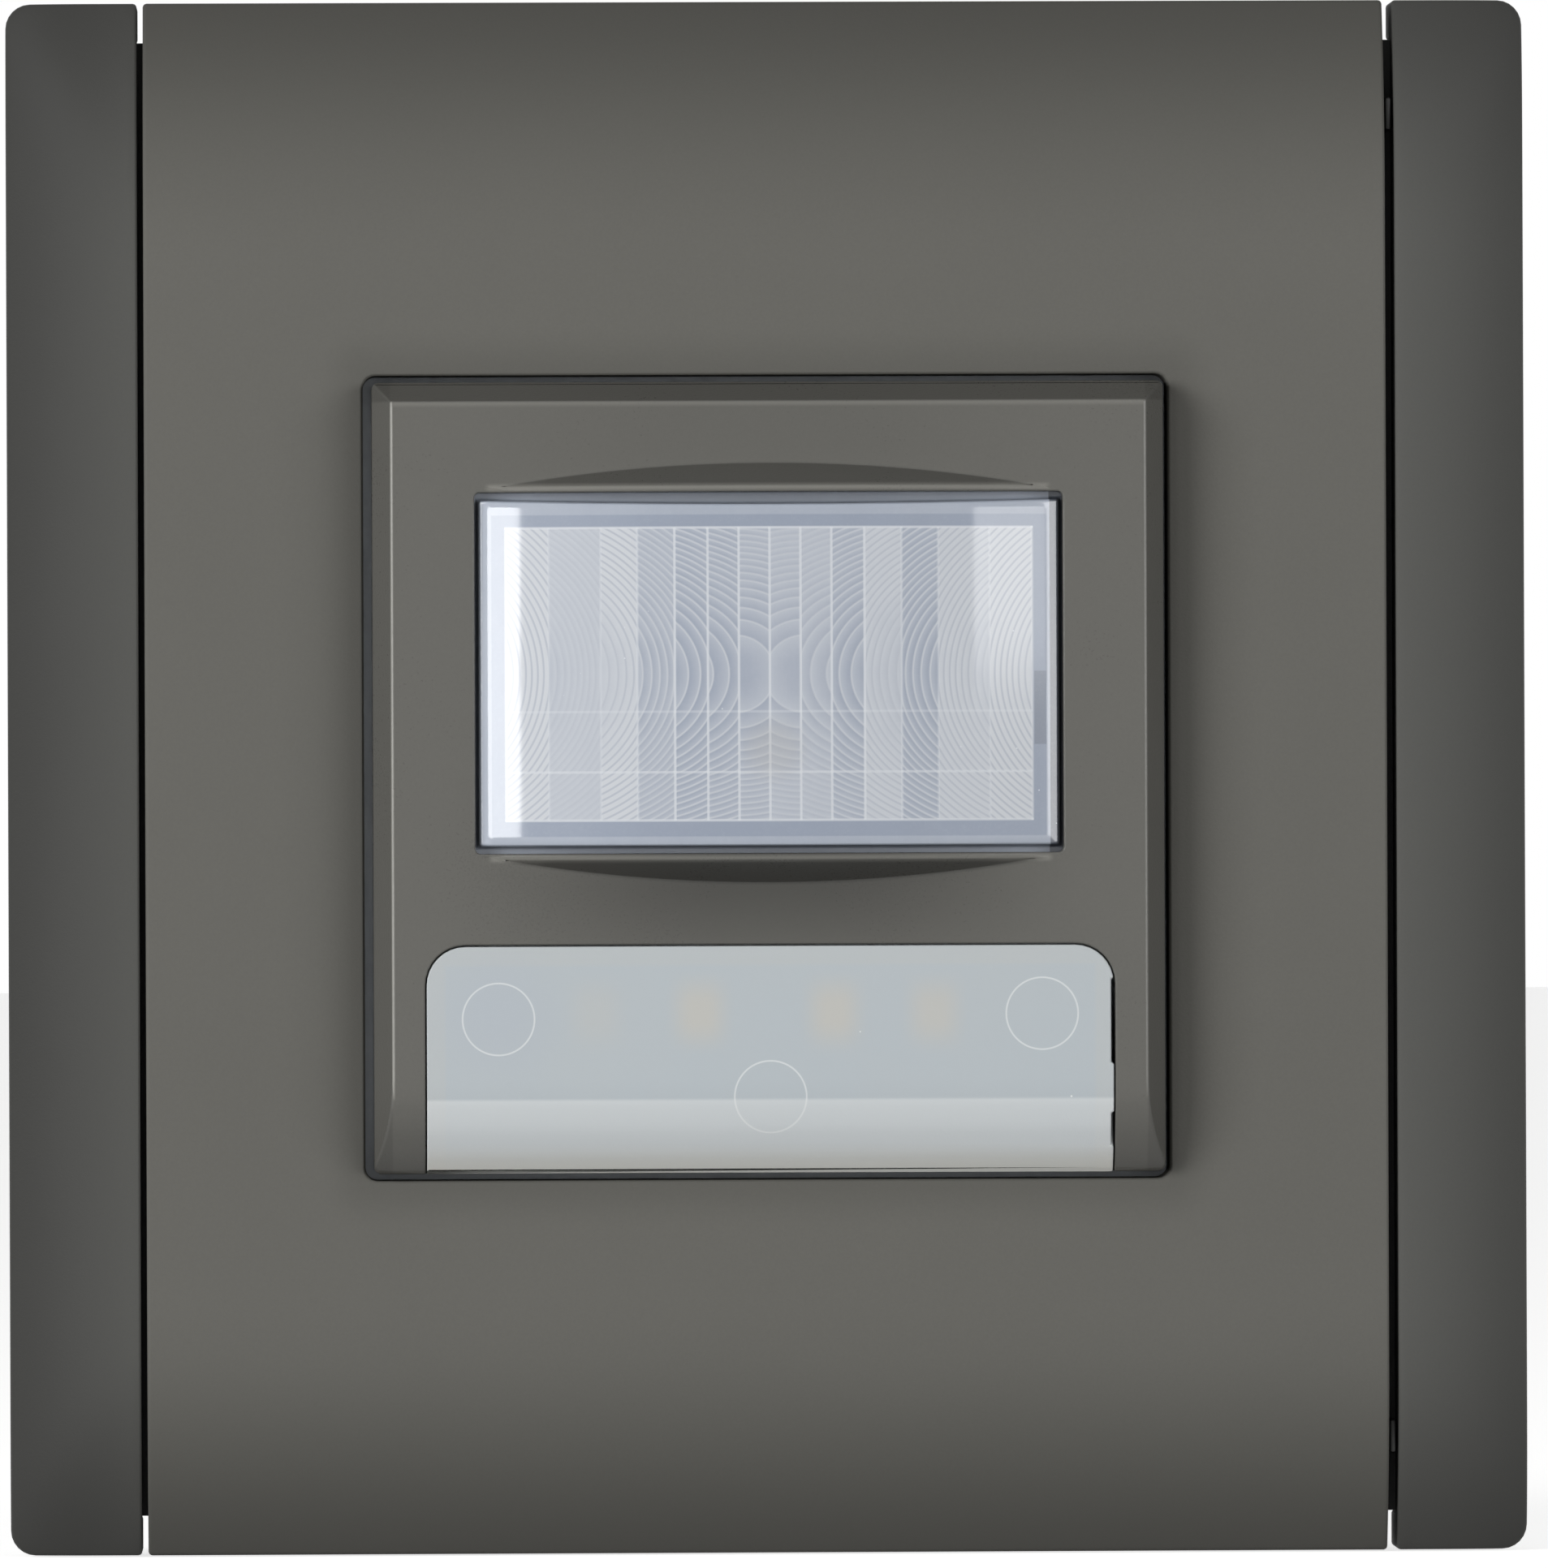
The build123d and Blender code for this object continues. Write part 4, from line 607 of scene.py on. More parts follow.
def lens_finish(colours):
    """Milky plastic moulded in panes: each holds a part of its own rings, under a smooth front face."""
    finish = Finish("ribbed_lens_plastic")
    across, _, up = finish.across()
    across, height = across / MM, up / MM
    reach = abs(across)
    right = across > 0
    cloud = finish.noise(1.6 * MM, detail=5.0, roughness=0.65)
    fine = finish.noise(0.2 * MM, detail=4.0, roughness=0.8)

    _, ring_place, left_haze, right_haze, strength = LENS_PANES[0]
    pane_haze = right * (right_haze - left_haze) + left_haze
    lines = line_at(reach, 0, LENS_LINE) * strength
    for pane, following in zip(LENS_PANES, LENS_PANES[1:]):
        outside = reach > pane[0]
        place_step, left_step, right_step = [following[part] - pane[part] for part in (1, 2, 3)]
        ring_place = outside * place_step + ring_place
        pane_haze = outside * (right * (right_step - left_step) + left_step) + pane_haze
        lines = line_at(reach, pane[0], LENS_LINE) * pane[4] + lines
    for row, strength in LENS_ROWS:
        lines = line_at(height, row, LENS_LINE) * strength + lines

    turn, pitch, radius = lens_rings(reach, height, ring_place)
    ridge = 1 - ((0.5 - abs(turn - 0.5)) * pitch).ease(*RIDGE_RUN)
    spread = radius.ease(*HAZE_RUN) * HAZE_LOSS + (1 - HAZE_LOSS)
    haze = pane_haze * spread + (cloud - 0.5) * CLOUD_SHARE
    clear = finish.blend(turn * 0.8 + 0.1, colours.lens_shade, colours.lens_clear)
    clear = finish.blend(ridge * CLEAR_RIDGE_SHARE, clear, colours.lens_haze)
    milky = finish.blend(ridge * MILKY_RIDGE_SHARE, colours.lens_haze, colours.lens_shade)
    tone = finish.blend(haze, clear, milky)

    side, half = LENS_PANES[-1][0], (PANES_SPAN[1] - PANES_SPAN[0]) / 2
    above = abs(height - sum(PANES_SPAN) / 2)
    fade = (-PANE_EDGE, PANE_EDGE)
    beyond = [value.ease(*run_at(edge, fade)) for value, edge in ((reach, side), (above, half))]
    inside = (1 - beyond[0]) * (1 - beyond[1])
    tone = finish.blend(inside, lens_border(finish, across, reach, height, cloud, colours), tone)
    side_lines = line_at(reach, side, LENS_LINE) * (above < half + LENS_LINE / 2) * LENS_PANES[-1][4]
    end_lines = line_at(above, half, LENS_LINE) * (reach < side + LENS_LINE / 2) * END_LINE_SHARE
    tone = finish.blend(lines * inside + (side_lines + end_lines), tone, colours.lens_line)
    sensor = 1 - hypotenuse(across - SENSOR_PLACE[0], height - SENSOR_PLACE[1]).ease(*SENSOR_RUN)
    tone = finish.blend(sensor * SENSOR_SHARE, tone, colours.warm_patch)
    tone = finish.blend((fine - 0.5) * FINE_SHARE + finish.specks(*LENS_DUST), tone, colours.lens_line)
    normal = finish.bump((1 - turn) * inside, GROOVE_DEPTH, GROOVE_STRENGTH)
    return finish.set(Base_Color=tone, Roughness=haze * 0.2 + 0.3, Normal=normal, **LENS_COAT)


# The night light's window, in millimetres from the module's middle

LAMP_PLACES = ((-9.9, 0.3), (-4.0, 0.85), (3.6, 0.85), (9.3, 0.75))
LAMP_HEIGHT = -13.35
LAMP_RUNS = ((0.3, 2.1), (0.4, 2.6))
LAMP_SHARE = 0.7
CIRCLE_PLACES = ((-15.43, -13.69), (15.43, -13.46), (0.0, -18.14))
CIRCLE_RADIUS = 2.04
CIRCLE_LINE = 0.07
CIRCLE_SHARE = 0.55
WINDOW_BORDER = ((18.3, 18.6), (-10.8, -10.5))
BORDER_SHARE = 0.45
BEND_RUN = (-18.4, -18.16)
BEND_PAINTED_REFLECTION_SHARE = 0.45
CORNER_PLACE = (-15.5, -13.5)
CORNER_RUN = (0.5, 5.0)
CORNER_SHARE = 0.35
END_RUN = (-22.3, -20.6)
END_SHARE = 0.45
WINDOW_SPECKS = (2.6 * MM, 0.06 * MM)


def frosted_plastic(colours):
    """Frosted plastic: paler along its border, with a painted reflection on its slope below the bend, and
    the lamps and the bosses behind it just showing.
    """
    finish = Finish("frosted_window_plastic")
    across, _, up = finish.across()
    side, height = across / MM, up / MM
    cloud = finish.noise(7 * MM, detail=3.0)
    grain = finish.noise(0.12 * MM, detail=3.0, roughness=0.7)
    border = abs(side).ease(*WINDOW_BORDER[0]).math("MAXIMUM", height.ease(*WINDOW_BORDER[1]))
    tone = finish.blend(cloud * 0.4 + border * BORDER_SHARE, colours.frosted, colours.frosted_edge)
    # A painted reflection: the window below its bend is drawn paler
    tone = finish.blend((1 - height.ease(*BEND_RUN)) * BEND_PAINTED_REFLECTION_SHARE, tone, colours.frosted_low)
    corner = 1 - hypotenuse(side - CORNER_PLACE[0], height - CORNER_PLACE[1]).ease(*CORNER_RUN)
    tone = finish.blend(corner * CORNER_SHARE, tone, colours.lens_clear)
    for place, weight in LAMP_PLACES:
        away = [abs(side - place).ease(*LAMP_RUNS[0]), abs(height - LAMP_HEIGHT).ease(*LAMP_RUNS[1])]
        glow = (1 - away[0]) * (1 - away[1])
        tone = finish.blend(glow * weight * LAMP_SHARE, tone, colours.lamp_glow)
    rings = 0.0
    for place, level in CIRCLE_PLACES:
        rings = line_at(hypotenuse(side - place, height - level), CIRCLE_RADIUS, CIRCLE_LINE) + rings
    tone = finish.blend(rings * CIRCLE_SHARE + finish.specks(*WINDOW_SPECKS), tone, colours.frosted_low)
    tone = finish.blend((1 - height.ease(*END_RUN)) * END_SHARE, tone, colours.frosted_end)
    normal = finish.bump(grain, 0.008 * MM)
    return finish.set(Base_Color=tone, Roughness=grain * 0.15 + 0.38, Normal=normal, Specular_IOR_Level=0.45)


# Modelling steps shared by the pieces

def make_active(piece):
    """Selects one piece alone."""
    bpy.ops.object.select_all(action="DESELECT")
    piece.select_set(True)
    bpy.context.view_layer.objects.active = piece


@contextmanager
def editing(piece, selected="DESELECT"):
    """Edit mode on one piece alone, with nothing selected in it unless asked."""
    make_active(piece)
    bpy.ops.object.mode_set(mode="EDIT")
    bpy.ops.mesh.select_all(action=selected)
    yield
    bpy.ops.object.mode_set(mode="OBJECT")


def choose(piece, kind, test):
    """Selects the edges or faces of the edited piece that pass the test, which also gets their middle."""
    bpy.ops.mesh.select_mode(type=kind)
    bpy.ops.mesh.select_all(action="DESELECT")
    mesh = bmesh.from_edit_mesh(piece.data)
    for part in mesh.edges if kind == "EDGE" else mesh.faces:
        middle = sum((corner.co for corner in part.verts), Vector()) / len(part.verts)
        if test(middle, part):
            part.select_set(True)
    bmesh.update_edit_mesh(piece.data)


def near(first, second):
    return abs(first - second) < NEAR


def add_block(name, x_span, rise_span, z_span):
    """A box between two limits across, two heights above the wall and two limits up the wall."""
    bpy.ops.object.select_all(action="DESELECT")
    spans = (x_span, (-rise_span[1], -rise_span[0]), z_span)
    middle = [(low + high) / 2 for low, high in spans]
    size = [high - low for low, high in spans]
    bpy.ops.mesh.primitive_cube_add(size=1, location=middle, scale=size)
    piece = bpy.context.object
    piece.name = name
    bpy.ops.object.transform_apply(location=True, rotation=True, scale=True)
    return piece


def cut(point, normal, drop=False):
    """Cuts the edited piece along a plane, and drops what lies beyond it if asked."""
    bpy.ops.mesh.select_all(action="SELECT")
    bpy.ops.mesh.bisect(
        plane_co=point, plane_no=normal, use_fill=drop, clear_outer=drop, threshold=CUT_NEAR
    )
    bpy.ops.mesh.select_all(action="DESELECT")


def round_corners(piece, radius, segments, test):
    """Rounds the edited piece's edges that pass the test."""
    choose(piece, "EDGE", test)
    bpy.ops.mesh.bevel(offset=radius, segments=segments, affect="EDGES", clamp_overlap=False)


def apply_modifier(piece, modifier):
    make_active(piece)
    bpy.ops.object.modifier_apply(modifier=modifier.name)


def combine(piece, other, operation="DIFFERENCE"):
    """Cuts another shape out of the piece, joins it or keeps what both share; the other shape is used up."""
    modifier = piece.modifiers.new("combine", "BOOLEAN")
    modifier.operation = operation
    modifier.solver = "EXACT"
    modifier.object = other
    apply_modifier(piece, modifier)
    bpy.data.objects.remove(other, do_unlink=True)


def tidy(piece):
    """Merges doubled points and turns every face outwards."""
    with editing(piece, "SELECT"):
        bpy.ops.mesh.remove_doubles(threshold=MERGE)
        bpy.ops.mesh.normals_make_consistent(inside=False)


def round_edges(piece, radius, segments=3):
    """Gives the piece's sharp edges the small radius of a moulding."""
    modifier = piece.modifiers.new("edges", "BEVEL")
    modifier.width = radius
    modifier.segments = segments
    modifier.limit_method = "ANGLE"
    modifier.angle_limit = BEVEL_ANGLE
    modifier.use_clamp_overlap = False
    apply_modifier(piece, modifier)
    bpy.ops.object.shade_smooth_by_angle(angle=SMOOTH_ANGLE)
    evener = piece.modifiers.new("normals", "WEIGHTED_NORMAL")
    evener.keep_sharp = True
    apply_modifier(piece, evener)


def dress(piece, body, node, slot, material):
    """Gives the finished piece its finish and its body, and hides the CAD node that it stands for."""
    piece.data.materials.clear()
    piece.data.materials.append(material)
    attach(piece, body)
    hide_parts(node)
    if not piece.data.polygons:
        raise RuntimeError(f"{piece.name} has no faces")


def fall(reach, run, drop):
    """How far an arc has fallen at a reach along its run; it starts level and ends one drop lower."""
    if reach <= 0:
        return 0.0
    radius = (run**2 + drop**2) / (2 * drop)
    return radius - math.sqrt(radius**2 - min(reach, run) ** 2)


def stations(first, last, count):
    """Evenly spaced places between two limits, without the first."""
    return [first + (last - first) * step / count for step in range(1, count + 1)]


def shift_points(piece, test, shift_at):
    """Moves the edited piece's points that pass the test, each by the shift that its place asks for."""
    mesh = bmesh.from_edit_mesh(piece.data)
    moves = {}
    for point in mesh.verts:
        if test(point.co):
            shift = tuple(round(part, 8) for part in shift_at(point.co))
            if any(shift):
                moves.setdefault(shift, []).append(point.index)
    bpy.ops.mesh.select_mode(type="VERT")
    for shift, numbers in moves.items():
        mesh = bmesh.from_edit_mesh(piece.data)
        mesh.verts.ensure_lookup_table()
        for number in numbers:
            mesh.verts[number].select_set(True)
        bmesh.update_edit_mesh(piece.data)
        bpy.ops.transform.translate(value=shift)
        bpy.ops.mesh.select_all(action="DESELECT")


def lower_front(piece, front, drop_at):
    """Sinks every point of the edited piece's flat front by the drop that its place asks for."""
    shift_points(piece, lambda co: near(co.y, -front), lambda co: (0, drop_at(co.x, co.z), 0))


def along_y(middle, edge):
    """True for an edge that stands straight out of the wall."""
    first, second = [corner.co for corner in edge.verts]
    return near(first.x, second.x) and near(first.z, second.z)


# Shapes of the plate

ROLL_STEPS = 12
OPENING_CORNER_STEPS = 5
STRIP_CORNER_STEPS = 6


def cut_roll(flat, half_height):
    """Cuts both ends of the edited piece across, where they roll back."""
    for height in [flat] + stations(flat, half_height, ROLL_STEPS)[:-1]:
        for end in (-1, 1):
            cut((0, 0, end * height), (0, 0, 1))


def rolled_block(name, x_span, half_height, front, bottom, sizes):
    """A box whose front rolls back towards its top and bottom ends."""
    flat = half_height - sizes.roll_length
    block = add_block(name, x_span, (bottom, front), (-half_height, half_height))
    with editing(block):
        cut_roll(flat, half_height)
        lower_front(block, front, lambda x, z: fall(abs(z) - flat, sizes.roll_length, sizes.end_drop))
    return block


def square_block(name, size, rise_span, radius=0.0):
    """A square box round the middle of the plate, with round corners if a radius is given."""
    block = add_block(name, (-size / 2, size / 2), rise_span, (-size / 2, size / 2))
    if radius:
        with editing(block):
            round_corners(block, radius, OPENING_CORNER_STEPS, along_y)
    return block


def build_centre_panel(sizes, colours):
    """The wide panel: a rolled shell with the module's opening and skirts at its ends."""
    half_width, half_height, wall = sizes.panel_width / 2, sizes.height / 2, sizes.panel_wall
    front, inside = sizes.panel_front, sizes.panel_front - wall
    panel = rolled_block("panel", (-half_width, half_width), half_height, front, sizes.edge_lift, sizes)
    inner_span = (wall - half_width, half_width - wall)
    hollow = rolled_block("hollow", inner_span, half_height - wall, inside, -OVERRUN, sizes)
    collar = square_block("collar", sizes.opening + 2 * wall, (-2 * OVERRUN, front))
    combine(hollow, collar)
    combine(panel, hollow)
    base_half = sizes.base_height / 2 + sizes.base_gap
    base_span = (-half_width - OVERRUN, half_width + OVERRUN)
    base = add_block("base", base_span, (-OVERRUN, sizes.web_front), (-base_half, base_half))
    combine(panel, base)
    opening = square_block("opening", sizes.opening, (-OVERRUN, front + OVERRUN), sizes.opening_radius)
    combine(panel, opening)
    tidy(panel)
    with editing(panel, "SELECT"):
        bpy.ops.transform.translate(value=(sizes.panel_shift, 0, 0))
    round_edges(panel, sizes.edge_radius)
    material = plate_plastic_painted_shade("panel_grey", colours.warm_grey, sizes, 0)
    dress(panel, "decor_frame", "centre_panel", "warm_grey_plastic", material)


def strip_block(name, side, inner, outer, half_height, front, bottom, sizes, radius=0.0):
    """A box whose front falls away to its outer edge and to its two ends."""
    flat = half_height - sizes.roll_length
    run = outer - inner
    x_span = sorted((side * inner, side * outer))
    block = add_block(name, x_span, (bottom, front), (-half_height, half_height))

    def at_corner(middle, edge):
        return along_y(middle, edge) and near(abs(middle.x), outer)

    with editing(block):
        if radius:
            round_corners(block, radius, STRIP_CORNER_STEPS, at_corner)
        cut_roll(flat, half_height)
        for reach in stations(inner, outer, ROLL_STEPS)[:-1]:
            cut((side * reach, 0, 0), (1, 0, 0))

        def drop_at(x, z):
            outward = fall(abs(x) - inner, run, sizes.strip_drop)
            return math.hypot(outward, fall(abs(z) - flat, sizes.roll_length, sizes.end_drop))

        lower_front(block, front, drop_at)
    return block


def build_side_strip(name, side, sizes, colours):
    """One side strip: a hollow bar that falls away to its outer edge and its ends."""
    wall, inner, outer, half = sizes.panel_wall, sizes.strip_inner, sizes.width / 2, sizes.height / 2
    front, lift = sizes.strip_front, sizes.edge_lift
    strip = strip_block("strip", side, inner, outer, half, front, lift, sizes, sizes.corner_radius)
    sides = (inner + wall, outer - wall)
    hollow = strip_block("hollow", side, *sides, half - wall, front - wall, -OVERRUN, sizes)
    combine(strip, hollow)
    base_spans = []
    for size in (sizes.base_width, sizes.base_height):
        reach = size / 2 + sizes.base_gap
        base_spans.append((-reach, reach))
    base = add_block("base", base_spans[0], (-OVERRUN, sizes.web_front), base_spans[1])
    combine(strip, base)
    tidy(strip)
    round_edges(strip, sizes.edge_radius)
    strip.name = f"strip_{name}"
    material = plate_plastic_painted_shade(f"strip_{name}_grey", colours.cool_grey, sizes, STRIP_PAINTED_SHADES[side])
    dress(strip, "decor_frame", f"side_strip_{name}", "cool_grey_plastic", material)


# Shapes of the cover

FALL_STEPS = 14
LIP_STEPS = 48
LENS_STEPS = 40
LENS_HOLLOW_STEPS = 32
COVER_CORNER_STEPS = 4
WINDOW_CORNER_STEPS = 8
LENS_CORNER_SHARE = 1.5
LENS_EDGE_SHARE = 1.4
WINDOW_EDGE_SHARE = 0.7
FACING_VIEWER = -0.9
SLOT_DEPTH = 0.15 * MM
SLOT_SPANS = ((-16.3 * MM, -11.5 * MM), (-21.0 * MM, -19.1 * MM))


def cover_block(name, inset, back, sizes):
    """The outside of the front cover, or a shape drawn in from it by the inset."""
    side, front = sizes.size / 2 - inset, sizes.front - inset
    bend = sizes.fall_length - sizes.size / 2
    run = side + bend
    block = add_block(name, (-side, side), (back, front), (-side, side))
    with editing(block):
        if not inset:
            round_corners(block, sizes.corner_radius, COVER_CORNER_STEPS, along_y)
        for end in (-1, 1):
            slope = (end * sizes.side_depth, -sizes.side_width, 0)
            cut((end * side, sizes.side_depth - front, 0), slope, drop=True)
        cut((0, sizes.top_depth - front, side), (0, -sizes.top_width, sizes.top_depth), drop=True)
        reaches = [0.0] + stations(0.0, run, FALL_STEPS)
        for near_end, far_end in zip(reaches, reaches[1:]):
            drops = [fall(reach, run, sizes.fall_drop) for reach in (near_end, far_end)]
            slope = (0, -(far_end - near_end), -(drops[1] - drops[0]))
            cut((0, drops[0] - front, bend - near_end), slope, drop=True)
    return block


def arc_rise(reach, half_length, bulge):
    """Height of a shallow arc above its chord."""
    radius = (half_length**2 + bulge**2) / (2 * bulge)
    return math.sqrt(max(radius**2 - reach**2, 0)) - (radius - bulge)


def bulged_block(name, half_length, rise_span, z_span, bulge, count):
    """A box whose front bulges out in the middle of its length."""
    block = add_block(name, (-half_length, half_length), rise_span, z_span)
    with editing(block):
        for reach in stations(-half_length, half_length, count)[:-1]:
            cut((reach, 0, 0), (1, 0, 0))
        lower_front(block, rise_span[1], lambda x, z: -arc_rise(x, half_length, bulge))
    return block


def lens_limits(sizes, grow, grow_ends=None):
    """Limits of the lens across and up the wall, grown by a margin."""
    half_width = sizes.lens_width / 2 + grow
    half_height = sizes.lens_height / 2 + (grow if grow_ends is None else grow_ends)
    return (-half_width, half_width), (sizes.lens_middle - half_height, sizes.lens_middle + half_height)


def add_lip(side, sizes):
    """One raised lip by the lens: a level rim, then a slope down to the face."""
    z_span = lens_limits(sizes, 0, sizes.lens_end_gap)[1]
    inner = z_span[1] if side > 0 else z_span[0]
    foot = sizes.front - sizes.wall / 2
    half = sizes.lip_length / 2
    outer = inner + side * sizes.lip_rim
    rim_span = sorted((inner, outer))
    lip = bulged_block("lip", half, (foot, sizes.front), rim_span, sizes.lip_bulge, LIP_STEPS)
    spread = sizes.lip_rise / sizes.lip_bulge

    def slope_at(co):
        height = sizes.front + arc_rise(co.x, half, sizes.lip_bulge) - foot
        return (0, 0, side * spread * height)

    with editing(lip):
        shift_points(lip, lambda co: near(co.y, -foot) and near(co.z, outer), slope_at)
    return lip


def build_front_cover(sizes, colours):
    """The square cover with its lens opening and lips, and the cut-out for the window."""
    cover = cover_block("cover", 0, sizes.back, sizes)
    combine(cover, cover_block("hollow", sizes.wall, sizes.back - OVERRUN, sizes))
    for side in (-1, 1):
        combine(cover, add_lip(side, sizes), "UNION")
    x_span, z_span = lens_limits(sizes, sizes.lens_gap, sizes.lens_end_gap)
    rise_span = (sizes.front - sizes.wall - OVERRUN, sizes.front + sizes.lip_bulge + OVERRUN)
    opening = add_block("opening", x_span, rise_span, z_span)
    radius = sizes.lens_gap * LENS_CORNER_SHARE
    with editing(opening):
        round_corners(opening, radius, COVER_CORNER_STEPS, along_y)
    combine(cover, opening)
    rise_span = (sizes.window_ledge, sizes.front + OVERRUN)
    combine(cover, window_block("cut_out", sizes.window_gap, rise_span, sizes))
    tidy(cover)
    round_edges(cover, sizes.edge_radius)
    dress(cover, "front_cover", "insert_cover", "warm_grey_plastic", cover_plastic_painted_light(sizes, colours))


def window_block(name, grow, rise_span, sizes):
    """The window's outline, round at its top corners and running out past the cover's lower end."""
    half, top = sizes.window_width / 2 + grow, sizes.window_top + grow
    block = add_block(name, (-half, half), rise_span, (-sizes.size / 2 - OVERRUN, top))

    def at_corner(middle, edge):
        return along_y(middle, edge) and near(middle.z, top)

    with editing(block):
        round_corners(block, sizes.window_radius + grow, WINDOW_CORNER_STEPS, at_corner)
    return block


def build_light_window(sizes, colours):
    """The frosted window: a shell that falls back with the cover, with a flange behind the cover."""
    ledge = sizes.window_ledge
    window = cover_block("window", 0, ledge, sizes)
    combine(window, cover_block("hollow", sizes.wall, ledge - OVERRUN, sizes))
    outline = window_block("outline", 0, (ledge - OVERRUN / 2, sizes.front + OVERRUN), sizes)
    combine(window, outline, "INTERSECT")
    inside = sizes.front - sizes.wall
    rise_span = (inside - sizes.window_flange_thickness, inside)
    flange = window_block("flange", sizes.window_flange, rise_span, sizes)
    combine(flange, window_block("middle", -sizes.wall, (ledge, sizes.front), sizes))
    with editing(flange):
        cut((0, 0, sizes.window_flange_end), (0, 0, -1), drop=True)
    combine(window, flange, "UNION")
    edge_span = (sizes.window_width / 2 - SLOT_DEPTH, sizes.window_width / 2 + OVERRUN)
    for z_span in SLOT_SPANS:
        slot = add_block("slot", edge_span, (inside + SLOT_DEPTH, sizes.front + OVERRUN), z_span)
        combine(window, slot)
    tidy(window)
    round_edges(window, sizes.edge_radius * WINDOW_EDGE_SHARE)
    window.name = "frosted_window"
    dress(window, "front_cover", "light_window", "frosted_plastic", frosted_plastic(colours))


def build_lens(sizes, colours):
    """The bulging lens: a thin shell with a lowered rim and a flange behind the cover."""
    inside = sizes.front - sizes.wall
    edge_front = sizes.front - sizes.lens_setback
    x_span, z_span = lens_limits(sizes, 0)
    side, low, high = x_span[1] - NEAR, z_span[0] + NEAR, z_span[1] - NEAR
    back = inside - sizes.lens_flange_thickness

    def in_front(middle, face):
        return middle.y < NEAR - edge_front and face.normal.y < FACING_VIEWER

    def on_rim(co):
        return co.y < NEAR - edge_front and (abs(co.x) > side or not low < co.z < high)

    def bow_at(co):
        return (0, 0, (co.x**2 / x_span[1]**2 - 1) * sizes.lens_top_bow)

    lens = bulged_block("lens", x_span[1], (back, edge_front), z_span, sizes.lens_bulge, LENS_STEPS)
    with editing(lens):
        choose(lens, "FACE", in_front)
        bpy.ops.mesh.inset(thickness=sizes.lens_rim, depth=0)
        shift_points(lens, on_rim, lambda co: (0, sizes.lens_rim_drop, 0))
        shift_points(lens, lambda co: near(co.z, z_span[1]), bow_at)
    reach, end_reach = [gap + sizes.lens_flange for gap in (sizes.lens_gap, sizes.lens_end_gap)]
    flange_x, flange_z = lens_limits(sizes, reach, end_reach)
    combine(lens, add_block("flange", flange_x, (back, inside), flange_z), "UNION")
    hollow_x, hollow_z = lens_limits(sizes, -sizes.lens_wall)
    span = (back - OVERRUN, edge_front - sizes.lens_wall)
    hollow = bulged_block("hollow", hollow_x[1], span, hollow_z, sizes.lens_bulge, LENS_HOLLOW_STEPS)
    combine(lens, hollow)
    tidy(lens)
    round_edges(lens, sizes.edge_radius * LENS_EDGE_SHARE)
    lens.name = "ribbed_lens"
    dress(lens, "front_cover", "fresnel_lens", "lens_plastic", lens_finish(colours))


# Pieces that stay inside, dressed from the CAD model

SOFTENED_STEPS = 2
# Of each softened piece its name, its node, its body and the width of its rounded edges
SOFTENED = (
    ("ring", "support_ring", "mechanism", 0.15 * MM),
    ("housing_shell", "housing_rear", "mechanism", 0.2 * MM),
    ("housing_lid", "housing_front", "mechanism", 0.15 * MM),
    ("left_claw", "claw_left", "claw_left", 0.12 * MM),
    ("right_claw", "claw_right", "claw_right", 0.12 * MM),
    ("base", "frame_base", "decor_frame", 0.1 * MM),
    ("tray", "light_tray", "front_cover", 0.12 * MM),
    ("retainer", "lens_retainer", "front_cover", 0.12 * MM),
)


def soften(name, node, body, slot, material, width):
    """A copy of a CAD piece with its doubled points merged and its edges rounded."""
    source = frame["nodes"][node]
    piece = source.copy()
    piece.data = source.data.copy()
    piece.name = name
    bpy.context.collection.objects.link(piece)
    world = source.matrix_world.copy()
    piece.parent = None
    piece.matrix_world = world
    make_active(piece)
    bpy.ops.object.transform_apply(location=True, rotation=True, scale=True)
    with editing(piece, "SELECT"):
        bpy.ops.mesh.remove_doubles(threshold=MERGE)
        bpy.ops.mesh.dissolve_limited(angle_limit=FLAT_ANGLE)
        bpy.ops.mesh.normals_make_consistent(inside=False)
    round_edges(piece, width, SOFTENED_STEPS)
    dress(piece, body, node, slot, material)


def slot_materials(colours):
    """The finish of every material slot of the hidden pieces."""
    return {
        "dark_plastic": moulded_plastic("dark_moulding", colours.dark_plastic, roughness=0.55),
        "housing_plastic": moulded_plastic("housing_moulding", colours.housing, roughness=0.45),
        "white_plastic": moulded_plastic("white_moulding", colours.white, roughness=0.4),
        "galvanised_steel": plated_steel("zinc_steel", colours.steel),
        "brass": bare_metal("bare_brass", colours.brass),
        "copper_wire": wound_wire("copper_turns", colours.copper),
        "board_green": circuit_board("green_board", colours.board),
        "black_moulding": moulded_plastic("black_moulding", colours.black, roughness=0.5),
        "relay_blue": moulded_plastic("relay_moulding", colours.relay, roughness=0.4),
        "capacitor_yellow": moulded_plastic("capacitor_box", colours.capacitor, roughness=0.25),
        "capacitor_can": bare_metal("capacitor_can", colours.can),
        "resistor_coat": moulded_plastic("resistor_lacquer", colours.resistor, roughness=0.3),
        "clear_lamp": clear_epoxy("clear_resin", colours.lamp),
        "sensing_ceramic": moulded_plastic("fired_ceramic", colours.ceramic, roughness=0.7),
        "adjuster_plastic": moulded_plastic("adjuster_nylon", colours.adjuster, roughness=0.45),
    }


